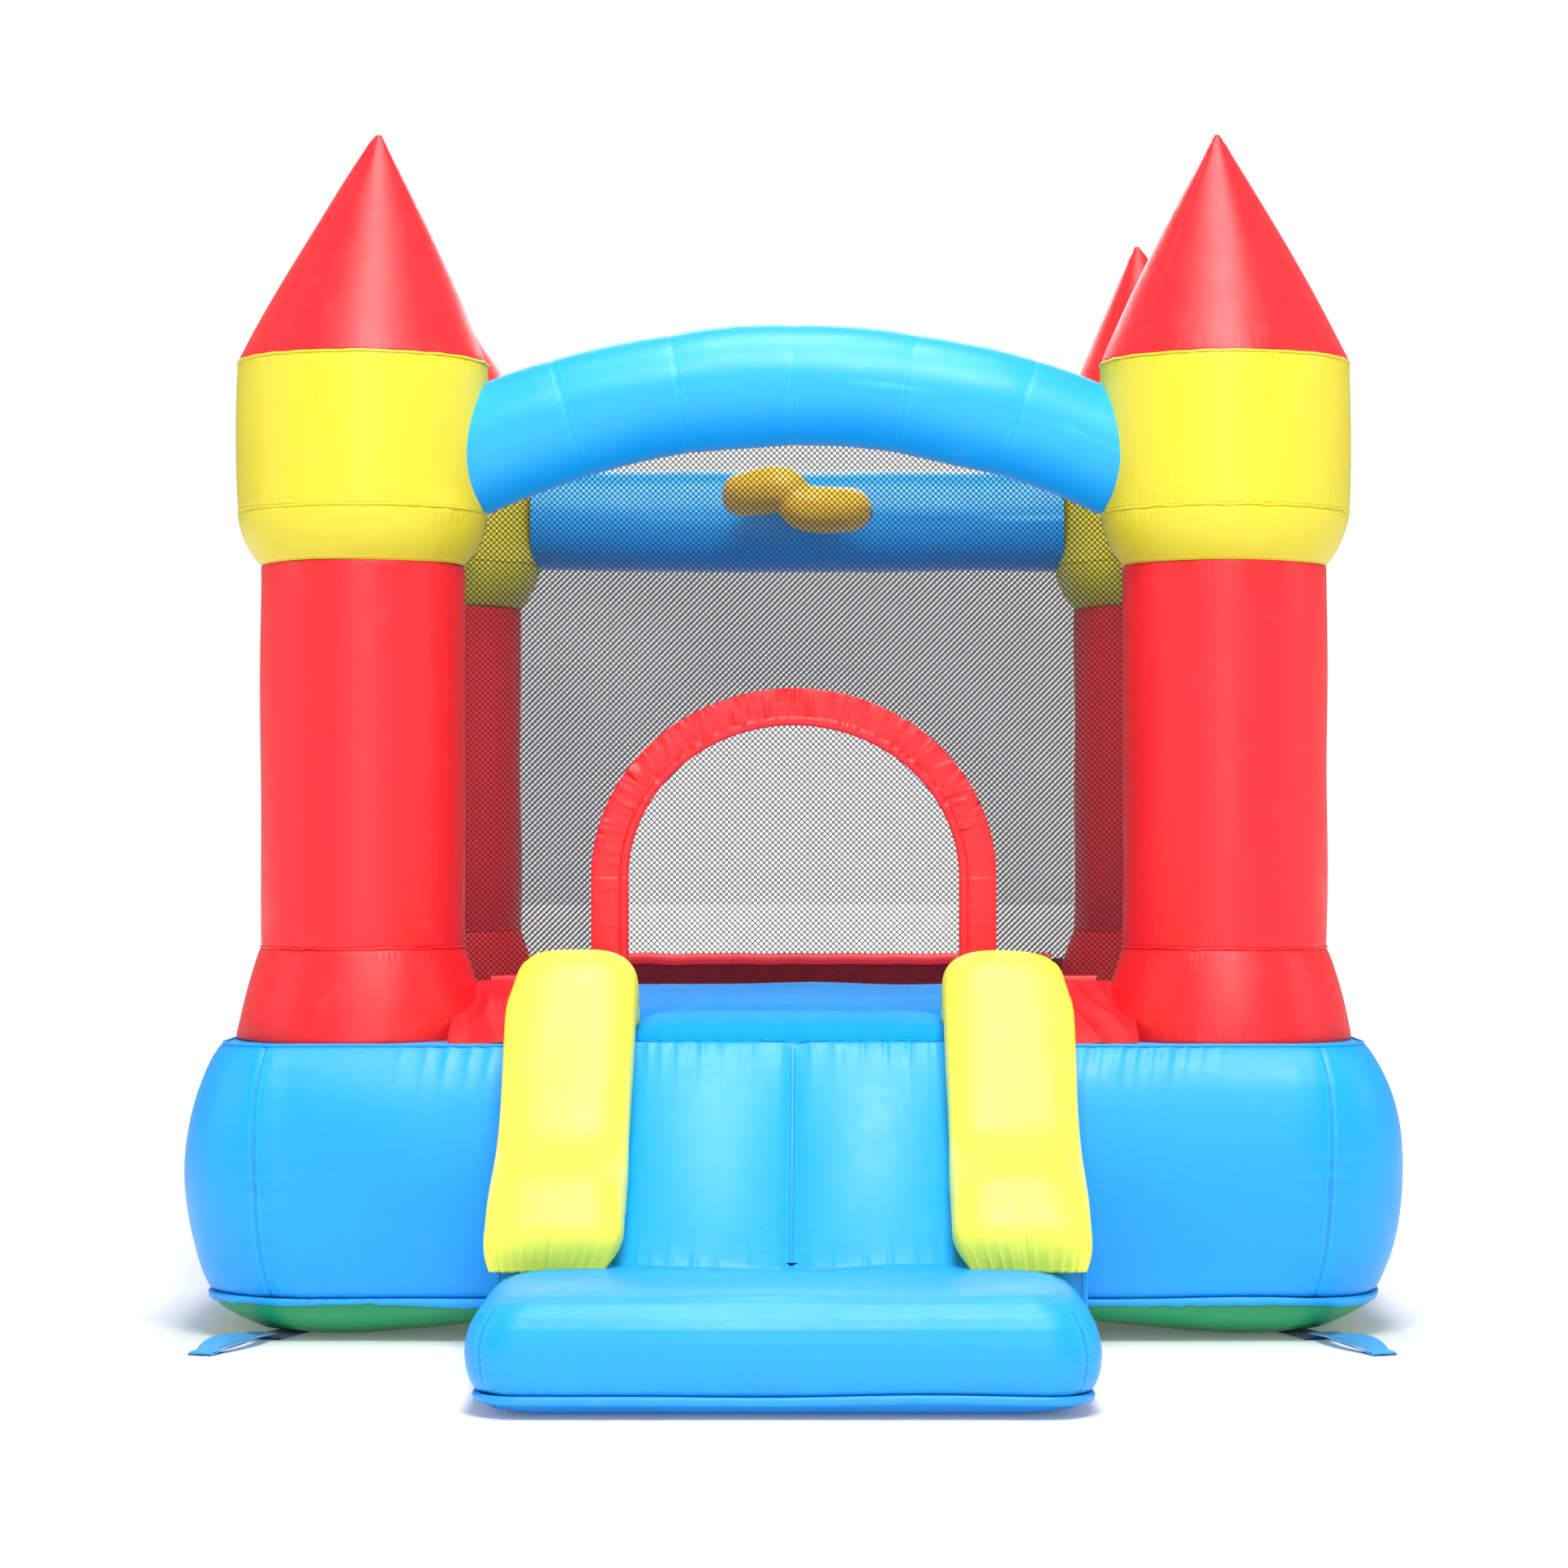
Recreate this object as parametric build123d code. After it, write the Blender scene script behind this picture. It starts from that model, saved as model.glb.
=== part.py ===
from build123d import *

import math
import os

# An inflatable bounce house: a raised bounce floor with a turreted tower at each corner, netting between
# the towers, an arched doorway, a padded slide in front, a hoop inside and a blower behind.
# Every skin is a thin sheet of coated cloth with air inside it, cut and sewn in panels.
#
# Frame, in millimetres: the origin is the centre of the flat patch that the base stands on, +Z is up,
# +X is to the right of someone facing the doorway, and +Y runs into the house.
# The slide comes out towards -Y, and the blower stands behind the house, at +Y.

SKIN = 2.0  # coated cloth, counted with its seam allowances
NET = 1.2  # knotted netting
SHEET = 2.0  # single unpadded cloth

# Towers, by radius and height
TOWER_X, TOWER_Y = 722.0, 630.0
SKIRT_R, COLUMN_R, BAND_R, TIP_R = 212.0, 170.0, 208.0, 5.0
SKIRT_Z, COLUMN_Z, COLLAR_Z, BAND_Z, CONE_Z, TIP_Z = 482.0, 635.0, 1272.0, 1360.0, 1610.0, 1995.0
COLLAR_BULGE, BAND_BULGE, SKIRT_BULGE, CONE_BULGE = 8.0, 5.0, 4.0, 6.0

# Base, as rounded rectangles: height, half width, half depth, corner radius
SEAM_Z, BASE_TOP = 75.0, 480.0
WALL_LEVELS = [
    (SEAM_Z, 960.0, 885.0, 150.0),
    (170.0, 990.0, 912.0, 165.0),
    (280.0, 1000.0, 920.0, 170.0),
    (390.0, 985.0, 906.0, 150.0),
    (BASE_TOP, 940.0, 862.0, 110.0),
]
UNDER_LEVELS = [
    (0.0, 780.0, 705.0, 100.0),
    (25.0, 880.0, 805.0, 125.0),
    (SEAM_Z, 960.0, 885.0, 150.0),
]
CORNER_SEAM = (700.0, 622.0)  # the corner seams lie on the diagonals through these points
AIR_HOLE_R = 196.0

# Bounce floor
FLOOR_X, FLOOR_Y = 715.0, 622.0
FLOOR_CHANNELS, FLOOR_VALLEY, FLOOR_CROWN = 5, 486.0, 530.0

# Beams between the towers
BEAM_R, BEAM_Z = 100.0, 1450.0
ARCH_R, ARCH_TOP_Z, ARCH_END_X, ARCH_END_Z = 101.5, 1576.0, 528.0, 1463.0
ARCH_GORES, ARCH_OVERRUN = 6, 3.5  # degrees that the arch runs on into each tower before it is trimmed

# Netting, apron and doorway
APRON_TOP, APRON_SPREAD, APRON_GAP = 577.0, 216.0, 505.0
NET_FOOT = BASE_TOP + SKIN + 1.5  # the nets reach down to the border
DOOR_X, DOOR_SPRING_Z, DOOR_TOP_Z, DOOR_TRIM, TRIM_THICK = 340.0, 750.0, 1068.0, 63.0, 8.0

# Slide
SLIDE_X, RAIL_IN, RAIL_OUT = 444.0, 246.0, 444.0
RAMP_TOP, RAMP_MID, RAMP_LOW = (-930.0, 490.0), (-1100.0, 305.0), (-1345.0, 170.0)
PAD_X, PAD_BACK = 244.0, -640.0
LANDING_X, LANDING_FRONT, LANDING_Z = 448.0, -1735.0, 170.0
LANDING_CORNER, LANDING_EDGE, LANDING_FOOT = 70.0, 45.0, 25.0

# Hoop on the rear beam
HOOP_R, HOOP_TUBE, HOOP_Y, HOOP_Z, HOOP_GORES = 100.0, 40.0, 372.0, 1462.0, 8
HOOP_TILT, HOOP_ROLL, NECK_R = 10.0, 5.0, 28.0

# Anchor straps: a tab sewn under each corner and a loop that lies on the ground
LOOP_ROOT, LOOP_TIP, TAB_LENGTH = (862.0, 822.0), (935.0, 1030.0), 125.0
STRAP_THICK, STRAP_LOW, LOOP_HALF, LOOP_TIP_HALF = 3.0, 0.5, 32.0, 13.0
LOOP_HOLE_CENTRE, LOOP_HOLE_HALF, LOOP_HOLE_WIDE = 105.0, 52.0, 12.0

# Blower, with its fan on an axis along X
FAN_X, FAN_Y, FAN_Z = 420.0, 1400.0, 165.0
DRUM_R, DRUM_HALF, WALL = 135.0, 75.0, 4.0
DUCT_X, DUCT_LOW, DUCT_HIGH, DUCT_FRONT = 60.0, 40.0, 150.0, -185.0
OUTLET_R, OUTLET_LENGTH, OUTLET_Z = 54.0, 70.0, 95.0
INTAKE_R, MOTOR_R, SHAFT_R, SHAFT_GAP = 72.0, 45.0, 6.0, 0.05
IMPELLER_R, BLADES = 108.0, 20
BOSS_R, BOSS_AT, BOSS_ANGLES = 9.0, 142.0, (15.0, 60.0, 120.0, 165.0, 320.0)
SCREW_R, SCREW_HEAD_R = 2.5, 4.5
PORT_Z, PORT_R = 150.0, 62.0


def save(name, *solids):
    """Writes one node. Several solids stay separate."""
    export_step(Compound(children=list(solids)) if len(solids) > 1 else solids[0], f"parts/{name}.step")


def solids_of(shape):
    """The loose solids of a cut shape, the largest first."""
    return sorted(shape.solids(), key=lambda s: -s.volume)


def bowed(start, end, bulge):
    """A line from start to end that bows to its right by bulge."""
    if not bulge:
        return Line(start, end)
    dx, dz = end[0] - start[0], end[1] - start[1]
    length = math.hypot(dx, dz)
    middle = ((start[0] + end[0]) / 2 + bulge * dz / length, (start[1] + end[1]) / 2 - bulge * dx / length)
    return ThreePointArc(start, middle, end)


def closed_face(*edges):
    """A face inside edges that already meet end to end."""
    return make_face(list(edges))


def sheet_between(outer, shift):
    """The face between a line and the same line moved by shift."""
    inner = outer.moved(Location((*shift, 0)))
    return closed_face(outer, inner, Line(outer @ 0, inner @ 0), Line(outer @ 1, inner @ 1))


def slab(face, plane, low, high):
    """A face drawn in plane, pulled from low to high along the plane's normal."""
    return extrude(plane.offset(low) * face, high - low)


# Towers


def tower_edges():
    """The tower's outline from its foot to its tip, as (name, edge)."""
    return [
        ("skirt", bowed((SKIRT_R, SKIRT_Z), (COLUMN_R, COLUMN_Z), SKIRT_BULGE)),
        ("column", bowed((COLUMN_R, COLUMN_Z), (COLUMN_R, COLLAR_Z), 0)),
        ("collar", bowed((COLUMN_R, COLLAR_Z), (BAND_R, BAND_Z), COLLAR_BULGE)),
        ("band", bowed((BAND_R, BAND_Z), (BAND_R, CONE_Z), BAND_BULGE)),
        ("cone", bowed((BAND_R, CONE_Z), (TIP_R, TIP_Z), CONE_BULGE)),
    ]


def tower_panel(edge):
    """One panel of cloth round the tower's axis."""
    return revolve(Plane.XZ * sheet_between(edge, (-SKIN, 0)), Axis.Z)


def cone_panel(edge):
    """The cone's panel, closed at its tip."""
    panel = tower_panel(edge)
    cap = Pos(0, 0, TIP_Z - SKIN) * Cylinder(TIP_R, SKIN, align=(Align.CENTER, Align.CENTER, Align.MIN))
    return solids_of(panel + cap)[0]


def tower_block():
    """All that one tower takes up, as one block to trim its neighbours with."""
    edges = [edge for _, edge in tower_edges()]
    closing = [
        Line((TIP_R, TIP_Z), (0, TIP_Z)),
        Line((0, TIP_Z), (0, SKIRT_Z)),
        Line((0, SKIRT_Z), (SKIRT_R, SKIRT_Z)),
    ]
    return revolve(Plane.XZ * closed_face(*edges, *closing), Axis.Z)


TOWERS = {
    f"{depth}_{side}": (sx * TOWER_X, sy * TOWER_Y)
    for depth, sy in (("front", -1), ("rear", 1))
    for side, sx in (("left", -1), ("right", 1))
}


def write_towers():
    """Three nodes a tower: the cone, the band with its collar, and the column with its skirt."""
    panels = {name: cone_panel(edge) if name == "cone" else tower_panel(edge) for name, edge in tower_edges()}
    for corner, (x, y) in TOWERS.items():
        place = Pos(x, y, 0)
        save(f"tower_cone_{corner}", place * panels["cone"])
        save(f"tower_band_{corner}", place * panels["band"], place * panels["collar"])
        save(f"tower_column_{corner}", place * panels["column"], place * panels["skirt"])


# Base


def lofted(levels, inset=0.0, lift=0.0):
    """A block through rounded rectangles, drawn in by inset and raised by lift."""
    return loft(
        [
            Plane.XY.offset(z + lift) * RectangleRounded(2 * (hx - inset), 2 * (hy - inset), radius - inset)
            for z, hx, hy, radius in levels
        ]
    )


def write_base(towers):
    """The four wall panels, the top border, the floor, the underside and the webs inside."""
    wall_block, under_block = lofted(WALL_LEVELS), lofted(UNDER_LEVELS)
    port = Pos(FAN_X, 900, PORT_Z) * Rot(90, 0, 0) * Cylinder(PORT_R, 120)
    ring = wall_block - lofted(WALL_LEVELS, SKIN) - port
    cx, cy, out = *CORNER_SEAM, 400
    sectors = {
        "front": [(-cx - out, -cy - out), (cx + out, -cy - out), (cx, -cy), (-cx, -cy)],
        "rear": [(-cx - out, cy + out), (cx + out, cy + out), (cx, cy), (-cx, cy)],
        "left": [(-cx - out, -cy - out), (-cx, -cy), (-cx, cy), (-cx - out, cy + out)],
        "right": [(cx + out, -cy - out), (cx, -cy), (cx, cy), (cx + out, cy + out)],
    }
    for side, corners in sectors.items():
        sector = extrude(make_face(Polyline(*corners, close=True)), BASE_TOP + SEAM_Z)
        save(f"base_wall_{side}", solids_of(ring & sector)[0])

    hole = Cylinder(AIR_HOLE_R, 4 * SKIN)
    _, hx, hy, radius = WALL_LEVELS[-1]
    border = extrude(Plane.XY.offset(BASE_TOP) * RectangleRounded(2 * hx, 2 * hy, radius), SKIN)
    border -= Pos(0, 0, BASE_TOP) * Box(2 * FLOOR_X - 8, 2 * FLOOR_Y - 8, 4 * SKIN)
    for x, y in TOWERS.values():
        border -= Pos(x, y, BASE_TOP) * hole
    save("base_top_border", solids_of(border)[0])

    inner = lofted(UNDER_LEVELS, SKIN / 2, SKIN)
    save("base_underside", solids_of(under_block - inner)[0])
    save("bounce_floor", bounce_floor(towers))
    return wall_block, under_block


def channel_face(drop):
    """The floor's cross-section in Y and Z: a row of crowned channels over a flat bottom."""
    reach = FLOOR_Y - drop
    pitch = 2 * reach / FLOOR_CHANNELS
    seams = [(-reach + i * pitch, FLOOR_VALLEY - drop) for i in range(FLOOR_CHANNELS + 1)]
    crowns = [
        ThreePointArc(a, ((a[0] + b[0]) / 2, FLOOR_CROWN - drop), b) for a, b in zip(seams, seams[1:])
    ]
    bottom = BASE_TOP + SKIN - drop
    return closed_face(
        *crowns,
        Line(seams[-1], (reach, bottom)),
        Line((reach, bottom), (-reach, bottom)),
        Line((-reach, bottom), seams[0]),
    )


def bounce_floor(towers):
    """The channelled top skin, with the corners cut out round the towers."""
    block = slab(channel_face(0), Plane.YZ, -FLOOR_X, FLOOR_X)
    block -= slab(channel_face(SKIN), Plane.YZ, -FLOOR_X + SKIN, FLOOR_X - SKIN)
    return solids_of(block - towers)[0]


def write_webs(wall_block, under_block):
    """The sewn webs: one under each valley of the floor, and one down the middle of the ramp."""
    pitch = 2 * FLOOR_Y / FLOOR_CHANNELS
    height = BASE_TOP - SKIN * 2
    webs = [
        Pos(0, -FLOOR_Y + i * pitch, SKIN * 2 + height / 2) * Box(2 * FLOOR_X - 40, SHEET, height)
        for i in range(1, FLOOR_CHANNELS)
    ]
    ramp_web = slab(ramp_outline(lift=-3 * SKIN), Plane.YZ, -SHEET / 2, SHEET / 2)
    save("inner_webs", *webs, solids_of(ramp_web - wall_block - under_block - threshold_block())[0])


# Beams


def arch_gore(index, outer, inner):
    """One sewn length of the arch, as a tube, before it is trimmed to the towers."""
    sag = ARCH_TOP_Z - ARCH_END_Z
    bend_r = (ARCH_END_X**2 + sag**2) / (2 * sag)
    half = math.degrees(math.asin(ARCH_END_X / bend_r)) + ARCH_OVERRUN
    step = 2 * half / ARCH_GORES
    pivot = Axis((0, -TOWER_Y, ARCH_TOP_Z - bend_r), (0, 1, 0))
    ring = Circle(outer) - Circle(inner) if inner else Circle(outer)
    section = Plane(origin=(0, -TOWER_Y, ARCH_TOP_Z), x_dir=(0, 1, 0), z_dir=(1, 0, 0)) * ring
    gore = revolve(section, pivot, revolution_arc=step)
    return gore.rotate(pivot, -half + index * step)


def beam(outer, inner, length, x, y, along):
    """A straight tube between two towers."""
    tube = Cylinder(outer, length) - Cylinder(inner, length) if inner else Cylinder(outer, length)
    turn = Rot(0, 90, 0) if along == "X" else Rot(90, 0, 0)
    return Pos(x, y, BEAM_Z) * turn * tube


def write_beams(towers):
    """The front arch and the three straight beams, each trimmed to the towers that it meets."""
    gores = [
        solids_of(arch_gore(i, ARCH_R, ARCH_R - SKIN) - towers)[0] for i in range(ARCH_GORES)
    ]
    save("front_arch_beam", *gores)
    straight = {
        "rear_beam": (2 * TOWER_X, 0, TOWER_Y, "X"),
        "left_beam": (2 * TOWER_Y, -TOWER_X, 0, "Y"),
        "right_beam": (2 * TOWER_Y, TOWER_X, 0, "Y"),
    }
    blocks = []
    for name, (length, x, y, along) in straight.items():
        tube = beam(BEAM_R, BEAM_R - SKIN, length, x, y, along) - towers
        middle = min(tube.solids(), key=lambda s: abs(s.center().X - x) + abs(s.center().Y - y))
        save(name, middle)
        blocks.append(beam(BEAM_R, 0, length, x, y, along))
    return [arch_gore(i, ARCH_R, 0) for i in range(ARCH_GORES)], blocks


# Netting, aprons and doorway


def door_outline(inset):
    """The doorway's shape in X and Z, drawn in by inset: straight legs under half an ellipse."""
    half, rise = DOOR_X - inset, DOOR_TOP_Z - DOOR_SPRING_Z - inset
    foot = SKIRT_Z
    crown = EllipticalCenterArc((0, DOOR_SPRING_Z), half, rise, start_angle=0, arc_size=180)
    return closed_face(
        crown,
        Line((-half, DOOR_SPRING_Z), (-half, foot)),
        Line((-half, foot), (half, foot)),
        Line((half, foot), (half, DOOR_SPRING_Z)),
    )


def write_netting(towers, arch_blocks, beam_blocks, rails):
    """A net and a sloping apron on each side, and the trimmed doorway in front."""
    front = Plane((0, -TOWER_Y, 0), x_dir=(1, 0, 0), z_dir=(0, -1, 0))
    reach = TOWER_X - COLUMN_R + 20
    arch_line = ThreePointArc((-reach, ARCH_END_Z), (0, ARCH_TOP_Z), (reach, ARCH_END_Z))
    net_face = closed_face(
        arch_line,
        Line((reach, ARCH_END_Z), (reach, NET_FOOT)),
        Line((reach, NET_FOOT), (-reach, NET_FOOT)),
        Line((-reach, NET_FOOT), (-reach, ARCH_END_Z)),
    )
    net = slab(net_face, front, -NET / 2, NET / 2) - towers
    for block in arch_blocks:
        net -= block
    net -= slab(door_outline(0), front, -TRIM_THICK, TRIM_THICK)
    save("front_net", solids_of(net)[0])
    trim = slab(door_outline(0) - door_outline(DOOR_TRIM), front, -TRIM_THICK / 2, TRIM_THICK / 2)
    save("doorway_trim", trim)

    height = BEAM_Z - NET_FOOT
    walls = {
        "rear": (Box(2 * TOWER_X, NET, height), 0, TOWER_Y, 0, APRON_GAP),
        "left": (Box(NET, 2 * TOWER_Y, height), -TOWER_X, 0, 90, TOWER_Y - SKIRT_R - 5),
        "right": (Box(NET, 2 * TOWER_Y, height), TOWER_X, 0, -90, TOWER_Y - SKIRT_R - 5),
    }
    for side, (panel, x, y, turn, half) in walls.items():
        cut = Pos(x, y, NET_FOOT + height / 2) * panel - towers
        for block in beam_blocks:
            cut -= block
        save(f"{side}_net", min(cut.solids(), key=lambda s: abs(s.center().X - x) + abs(s.center().Y - y)))
        apron = slab(apron_face(), Plane.YZ, -half, half)
        save(f"{side}_apron", solids_of(Pos(x, y, 0) * Rot(0, 0, turn) * apron - towers)[0])

    halves = []
    for side in (-1, 1):
        low, high = sorted((side * (DOOR_X + 2), side * APRON_GAP))
        strip = Pos(0, -TOWER_Y, 0) * Rot(0, 0, 180) * slab(apron_face(), Plane.YZ, -high, -low)
        halves.append(solids_of(strip - towers - rails[0] - rails[1])[0])
    save("front_apron", *halves)


def apron_face():
    """An apron's section, from the outside of the net out and down to the border of the base."""
    low = BASE_TOP + SKIN
    return make_face(
        Polyline((1, APRON_TOP), (3, APRON_TOP), (APRON_SPREAD + 5, low), (APRON_SPREAD, low), close=True)
    )


# Slide


def ramp_line(lift=0.0):
    """The ramp's surface in Y and Z, from the threshold down to the landing."""
    (y0, z0), (y1, z1), (y2, z2) = RAMP_TOP, RAMP_MID, RAMP_LOW
    return ThreePointArc((y0, z0 + lift), (y1, z1 + lift), (y2, z2 + lift))


def ramp_outline(lift=0.0):
    """What lies under the ramp, seen from the side."""
    (y0, z0), (y2, z2) = RAMP_TOP, RAMP_LOW
    back = -UNDER_LEVELS[0][2] - 60
    floor = SKIN * 1.5
    return closed_face(
        ramp_line(lift),
        Line((y2, z2 + lift), (y2, floor)),
        Line((y2, floor), (back, floor)),
        Line((back, floor), (back, z0 + lift)),
        Line((back, z0 + lift), (y0, z0 + lift)),
    )


def drawn_in(line, inset):
    """The same line moved by inset towards its right."""
    points = []
    for i in range(17):
        place, way = line @ (i / 16), line % (i / 16)
        points.append((place.X + inset * way.Y, place.Y - inset * way.X))
    return Spline(*points)


def threshold_block():
    """The space over the base behind the top of the ramp, which the pad and the rails take up."""
    return Pos(0, RAMP_TOP[0] + 150, BASE_TOP + 50) * Box(2 * SLIDE_X + 20, 300, 100)


def rail_outline(inset=0.0):
    """A side rail seen from the side: a tall head at the doorway, a hollow back and a foot on the landing."""
    foot_y, back_y, sole = -1402.0, -792.0, LANDING_Z
    crest = Spline(
        (foot_y, sole),
        (-1414, 238),
        (-1350, 306),
        (-1190, 372),
        (-1060, 512),
        (-965, 612),
        (-885, 636),
        (-812, 606),
        (back_y, 540),
    )
    if inset:
        crest = drawn_in(crest, inset)
    seat = BASE_TOP + SKIN
    back = crest @ 1
    return closed_face(
        crest,
        Line(back, (back.X, seat)),
        Line((back.X, seat), (RAMP_TOP[0], seat)),
        Line((RAMP_TOP[0], seat), RAMP_TOP),
        ramp_line(),
        Line(RAMP_LOW, crest @ 0),
    )


def rail(side, inset):
    """One rail as a block, drawn in by inset."""
    low, high = sorted((side * (RAIL_IN + inset), side * (RAIL_OUT - inset)))
    block = slab(rail_outline(inset), Plane.YZ, low, high)
    return block & Pos(0, 0, inset) * slab(rail_outline(), Plane.YZ, low, high) if inset else block


def landing_block(inset):
    """The landing cushion at the foot of the slide."""
    back, front = RAMP_LOW[0] - inset, LANDING_FRONT + inset
    height = LANDING_Z - 2 * inset
    block = Pos(0, (back + front) / 2, LANDING_Z / 2) * Box(2 * (LANDING_X - inset), back - front, height)
    corners = block.edges().filter_by(Axis.Z).group_by(Axis.Y)[0]
    block = fillet(corners, LANDING_CORNER - inset)
    rims = [e for e in block.faces().sort_by(Axis.Z)[-1].edges() if e.center().Y < back - 1]
    block = fillet(rims, LANDING_EDGE - inset)
    soles = [e for e in block.faces().sort_by(Axis.Z)[0].edges() if e.center().Y < back - 1]
    return fillet(soles, LANDING_FOOT - inset)


def write_slide(wall_block, under_block):
    """The ramp, its sides and underside, the threshold pad, the two rails and the landing."""
    top = threshold_block()
    ramp = slab(sheet_between(ramp_line(), (1.2, -1.8)), Plane.YZ, -SLIDE_X, SLIDE_X)
    save("slide_ramp", solids_of(ramp - wall_block - top)[0])
    sides = []
    for side in (-1, 1):
        low, high = sorted((side * (SLIDE_X - 4), side * (SLIDE_X - 2)))
        panel = slab(ramp_outline(lift=-2 * SKIN), Plane.YZ, low, high)
        sides.append(solids_of(panel - wall_block - under_block - top)[0])
    depth = -RAMP_LOW[0] - 890
    under = Pos(0, -890 - depth / 2, SHEET / 2) * Box(2 * SLIDE_X, depth, SHEET) - under_block
    save("slide_ramp_sides", *sides, solids_of(under)[0])

    pad = closed_face(*pad_edges(0))
    inner = closed_face(*pad_edges(SKIN))
    shell = slab(pad, Plane.YZ, -PAD_X, PAD_X) - slab(inner, Plane.YZ, -PAD_X + SKIN, PAD_X - SKIN)
    save("slide_threshold_pad", solids_of(shell)[0])

    rails = []
    for name, side in (("left", -1), ("right", 1)):
        save(f"slide_rail_{name}", solids_of(rail(side, 0) - rail(side, SKIN))[0])
        rails.append(rail(side, 0))
    save("slide_landing", solids_of(landing_block(0) - landing_block(SKIN))[0])
    return rails


def pad_edges(inset):
    """The threshold pad's section in Y and Z, highest at the doorway."""
    front, back, low = RAMP_TOP[0] + inset, PAD_BACK - inset, BASE_TOP + SKIN + inset
    nose, heel = (front, RAMP_TOP[1] - inset), (back, 520 - inset)
    crown = ThreePointArc(nose, (-760 + inset, 538 - inset), heel)
    return [crown, Line(heel, (back, low)), Line((back, low), (front, low)), Line((front, low), nose)]


# Hoop


def write_hoop(rear_block):
    """An inflated ring on a short neck, tipped a little towards the doorway."""
    place = Pos(0, HOOP_Y, HOOP_Z) * Rot(HOOP_TILT, HOOP_ROLL, 0)
    step = 360 / HOOP_GORES
    section = Plane.XZ * Pos(HOOP_R, 0) * (Circle(HOOP_TUBE) - Circle(HOOP_TUBE - SKIN))
    gore = revolve(section, Axis.Z, revolution_arc=step)
    save("hoop_ring", *[place * Rot(0, 0, i * step) * gore for i in range(HOOP_GORES)])
    neck_back, neck_front = TOWER_Y, HOOP_Y + HOOP_R
    length = neck_back - neck_front
    tube = Cylinder(NECK_R, length) - Cylinder(NECK_R - SKIN, length)
    middle = Pos(0, (neck_back + neck_front) / 2, HOOP_Z + HOOP_R * math.sin(math.radians(HOOP_TILT)))
    ring_block = place * Torus(HOOP_R, HOOP_TUBE)
    save("hoop_neck", solids_of(middle * Rot(90, 0, 0) * tube - rear_block - ring_block)[0])


# Anchor straps


def strap_plane(sx, sy):
    """A plane on the ground at the fold of the strap at the corner of those signs, with x along the strap."""
    direction = (sx * (LOOP_TIP[0] - LOOP_ROOT[0]), sy * (LOOP_TIP[1] - LOOP_ROOT[1]), 0)
    return Plane(origin=(sx * LOOP_ROOT[0], sy * LOOP_ROOT[1], STRAP_LOW), x_dir=direction, z_dir=(0, 0, 1))


def write_straps():
    """A hinged loop at each corner, and the four sewn tabs that hold them."""
    length = math.dist(LOOP_ROOT, LOOP_TIP)
    outline = make_face(
        Polyline(
            (0, -LOOP_HALF),
            (length * 0.55, -LOOP_HALF),
            (length, -LOOP_TIP_HALF),
            (length, LOOP_TIP_HALF),
            (length * 0.55, LOOP_HALF),
            (0, LOOP_HALF),
            close=True,
        )
    )
    hole = make_face(
        Polyline(
            (LOOP_HOLE_CENTRE - LOOP_HOLE_HALF, 0),
            (LOOP_HOLE_CENTRE, -LOOP_HOLE_WIDE),
            (LOOP_HOLE_CENTRE + LOOP_HOLE_HALF, 0),
            (LOOP_HOLE_CENTRE, LOOP_HOLE_WIDE),
            close=True,
        )
    )
    tabs = []
    tab_face = Pos(-1 - TAB_LENGTH / 2) * Rectangle(TAB_LENGTH, 2 * LOOP_HALF)
    for corner, (x, y) in TOWERS.items():
        sx, sy = math.copysign(1, x), math.copysign(1, y)
        plane = strap_plane(sx, sy)
        save(f"anchor_loop_{corner}", extrude(plane * (outline - hole), STRAP_THICK))
        tabs.append(extrude(plane * tab_face, STRAP_THICK))
    return tabs


# Blower


def at_fan(shape):
    """Places a shape drawn round the fan's centre with its axis along Z."""
    return Pos(FAN_X, FAN_Y, FAN_Z) * Rot(0, 90, 0) * shape


def fan_box(x0, x1, y0, y1, z0, z1):
    """A box with X and Y measured from the fan, and Z from the ground."""
    return Pos(FAN_X + (x0 + x1) / 2, FAN_Y + (y0 + y1) / 2, (z0 + z1) / 2) * Box(x1 - x0, y1 - y0, z1 - z0)


def round_at(angle, radius=BOSS_AT):
    """A point round the fan's axis, as (Y, Z) from the fan."""
    return radius * math.cos(math.radians(angle)), radius * math.sin(math.radians(angle))


def across(x, y, z, radius, x1):
    """A cylinder along X from x to x1, at y and z from the fan."""
    return Pos(FAN_X + (x + x1) / 2, FAN_Y + y, FAN_Z + z) * Rot(0, 90, 0) * Cylinder(radius, abs(x1 - x))


def housing_blocks():
    """The blower's outside and inside as two blocks."""
    front = FAN_Y + DUCT_FRONT
    outlet = Pos(FAN_X, front - OUTLET_LENGTH / 2 + 5, OUTLET_Z) * Rot(90, 0, 0)
    outside = across(-DRUM_HALF, 0, 0, DRUM_R, DRUM_HALF) + across(-6, 0, 0, DRUM_R + 7, 6)
    outside += fan_box(-DUCT_X, DUCT_X, DUCT_FRONT, 0, DUCT_LOW, DUCT_HIGH)
    outside += outlet * Cylinder(OUTLET_R, OUTLET_LENGTH + 10)
    for angle in BOSS_ANGLES:
        outside += across(-14, *round_at(angle), BOSS_R, 14)
    hollow = across(WALL - DRUM_HALF, 0, 0, DRUM_R - WALL, DRUM_HALF - WALL)
    hollow += fan_box(WALL - DUCT_X, DUCT_X - WALL, DUCT_FRONT + WALL, 0, DUCT_LOW + WALL, DUCT_HIGH - WALL)
    hollow += outlet * Cylinder(OUTLET_R - WALL, OUTLET_LENGTH + 40)
    return outside, hollow


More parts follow.
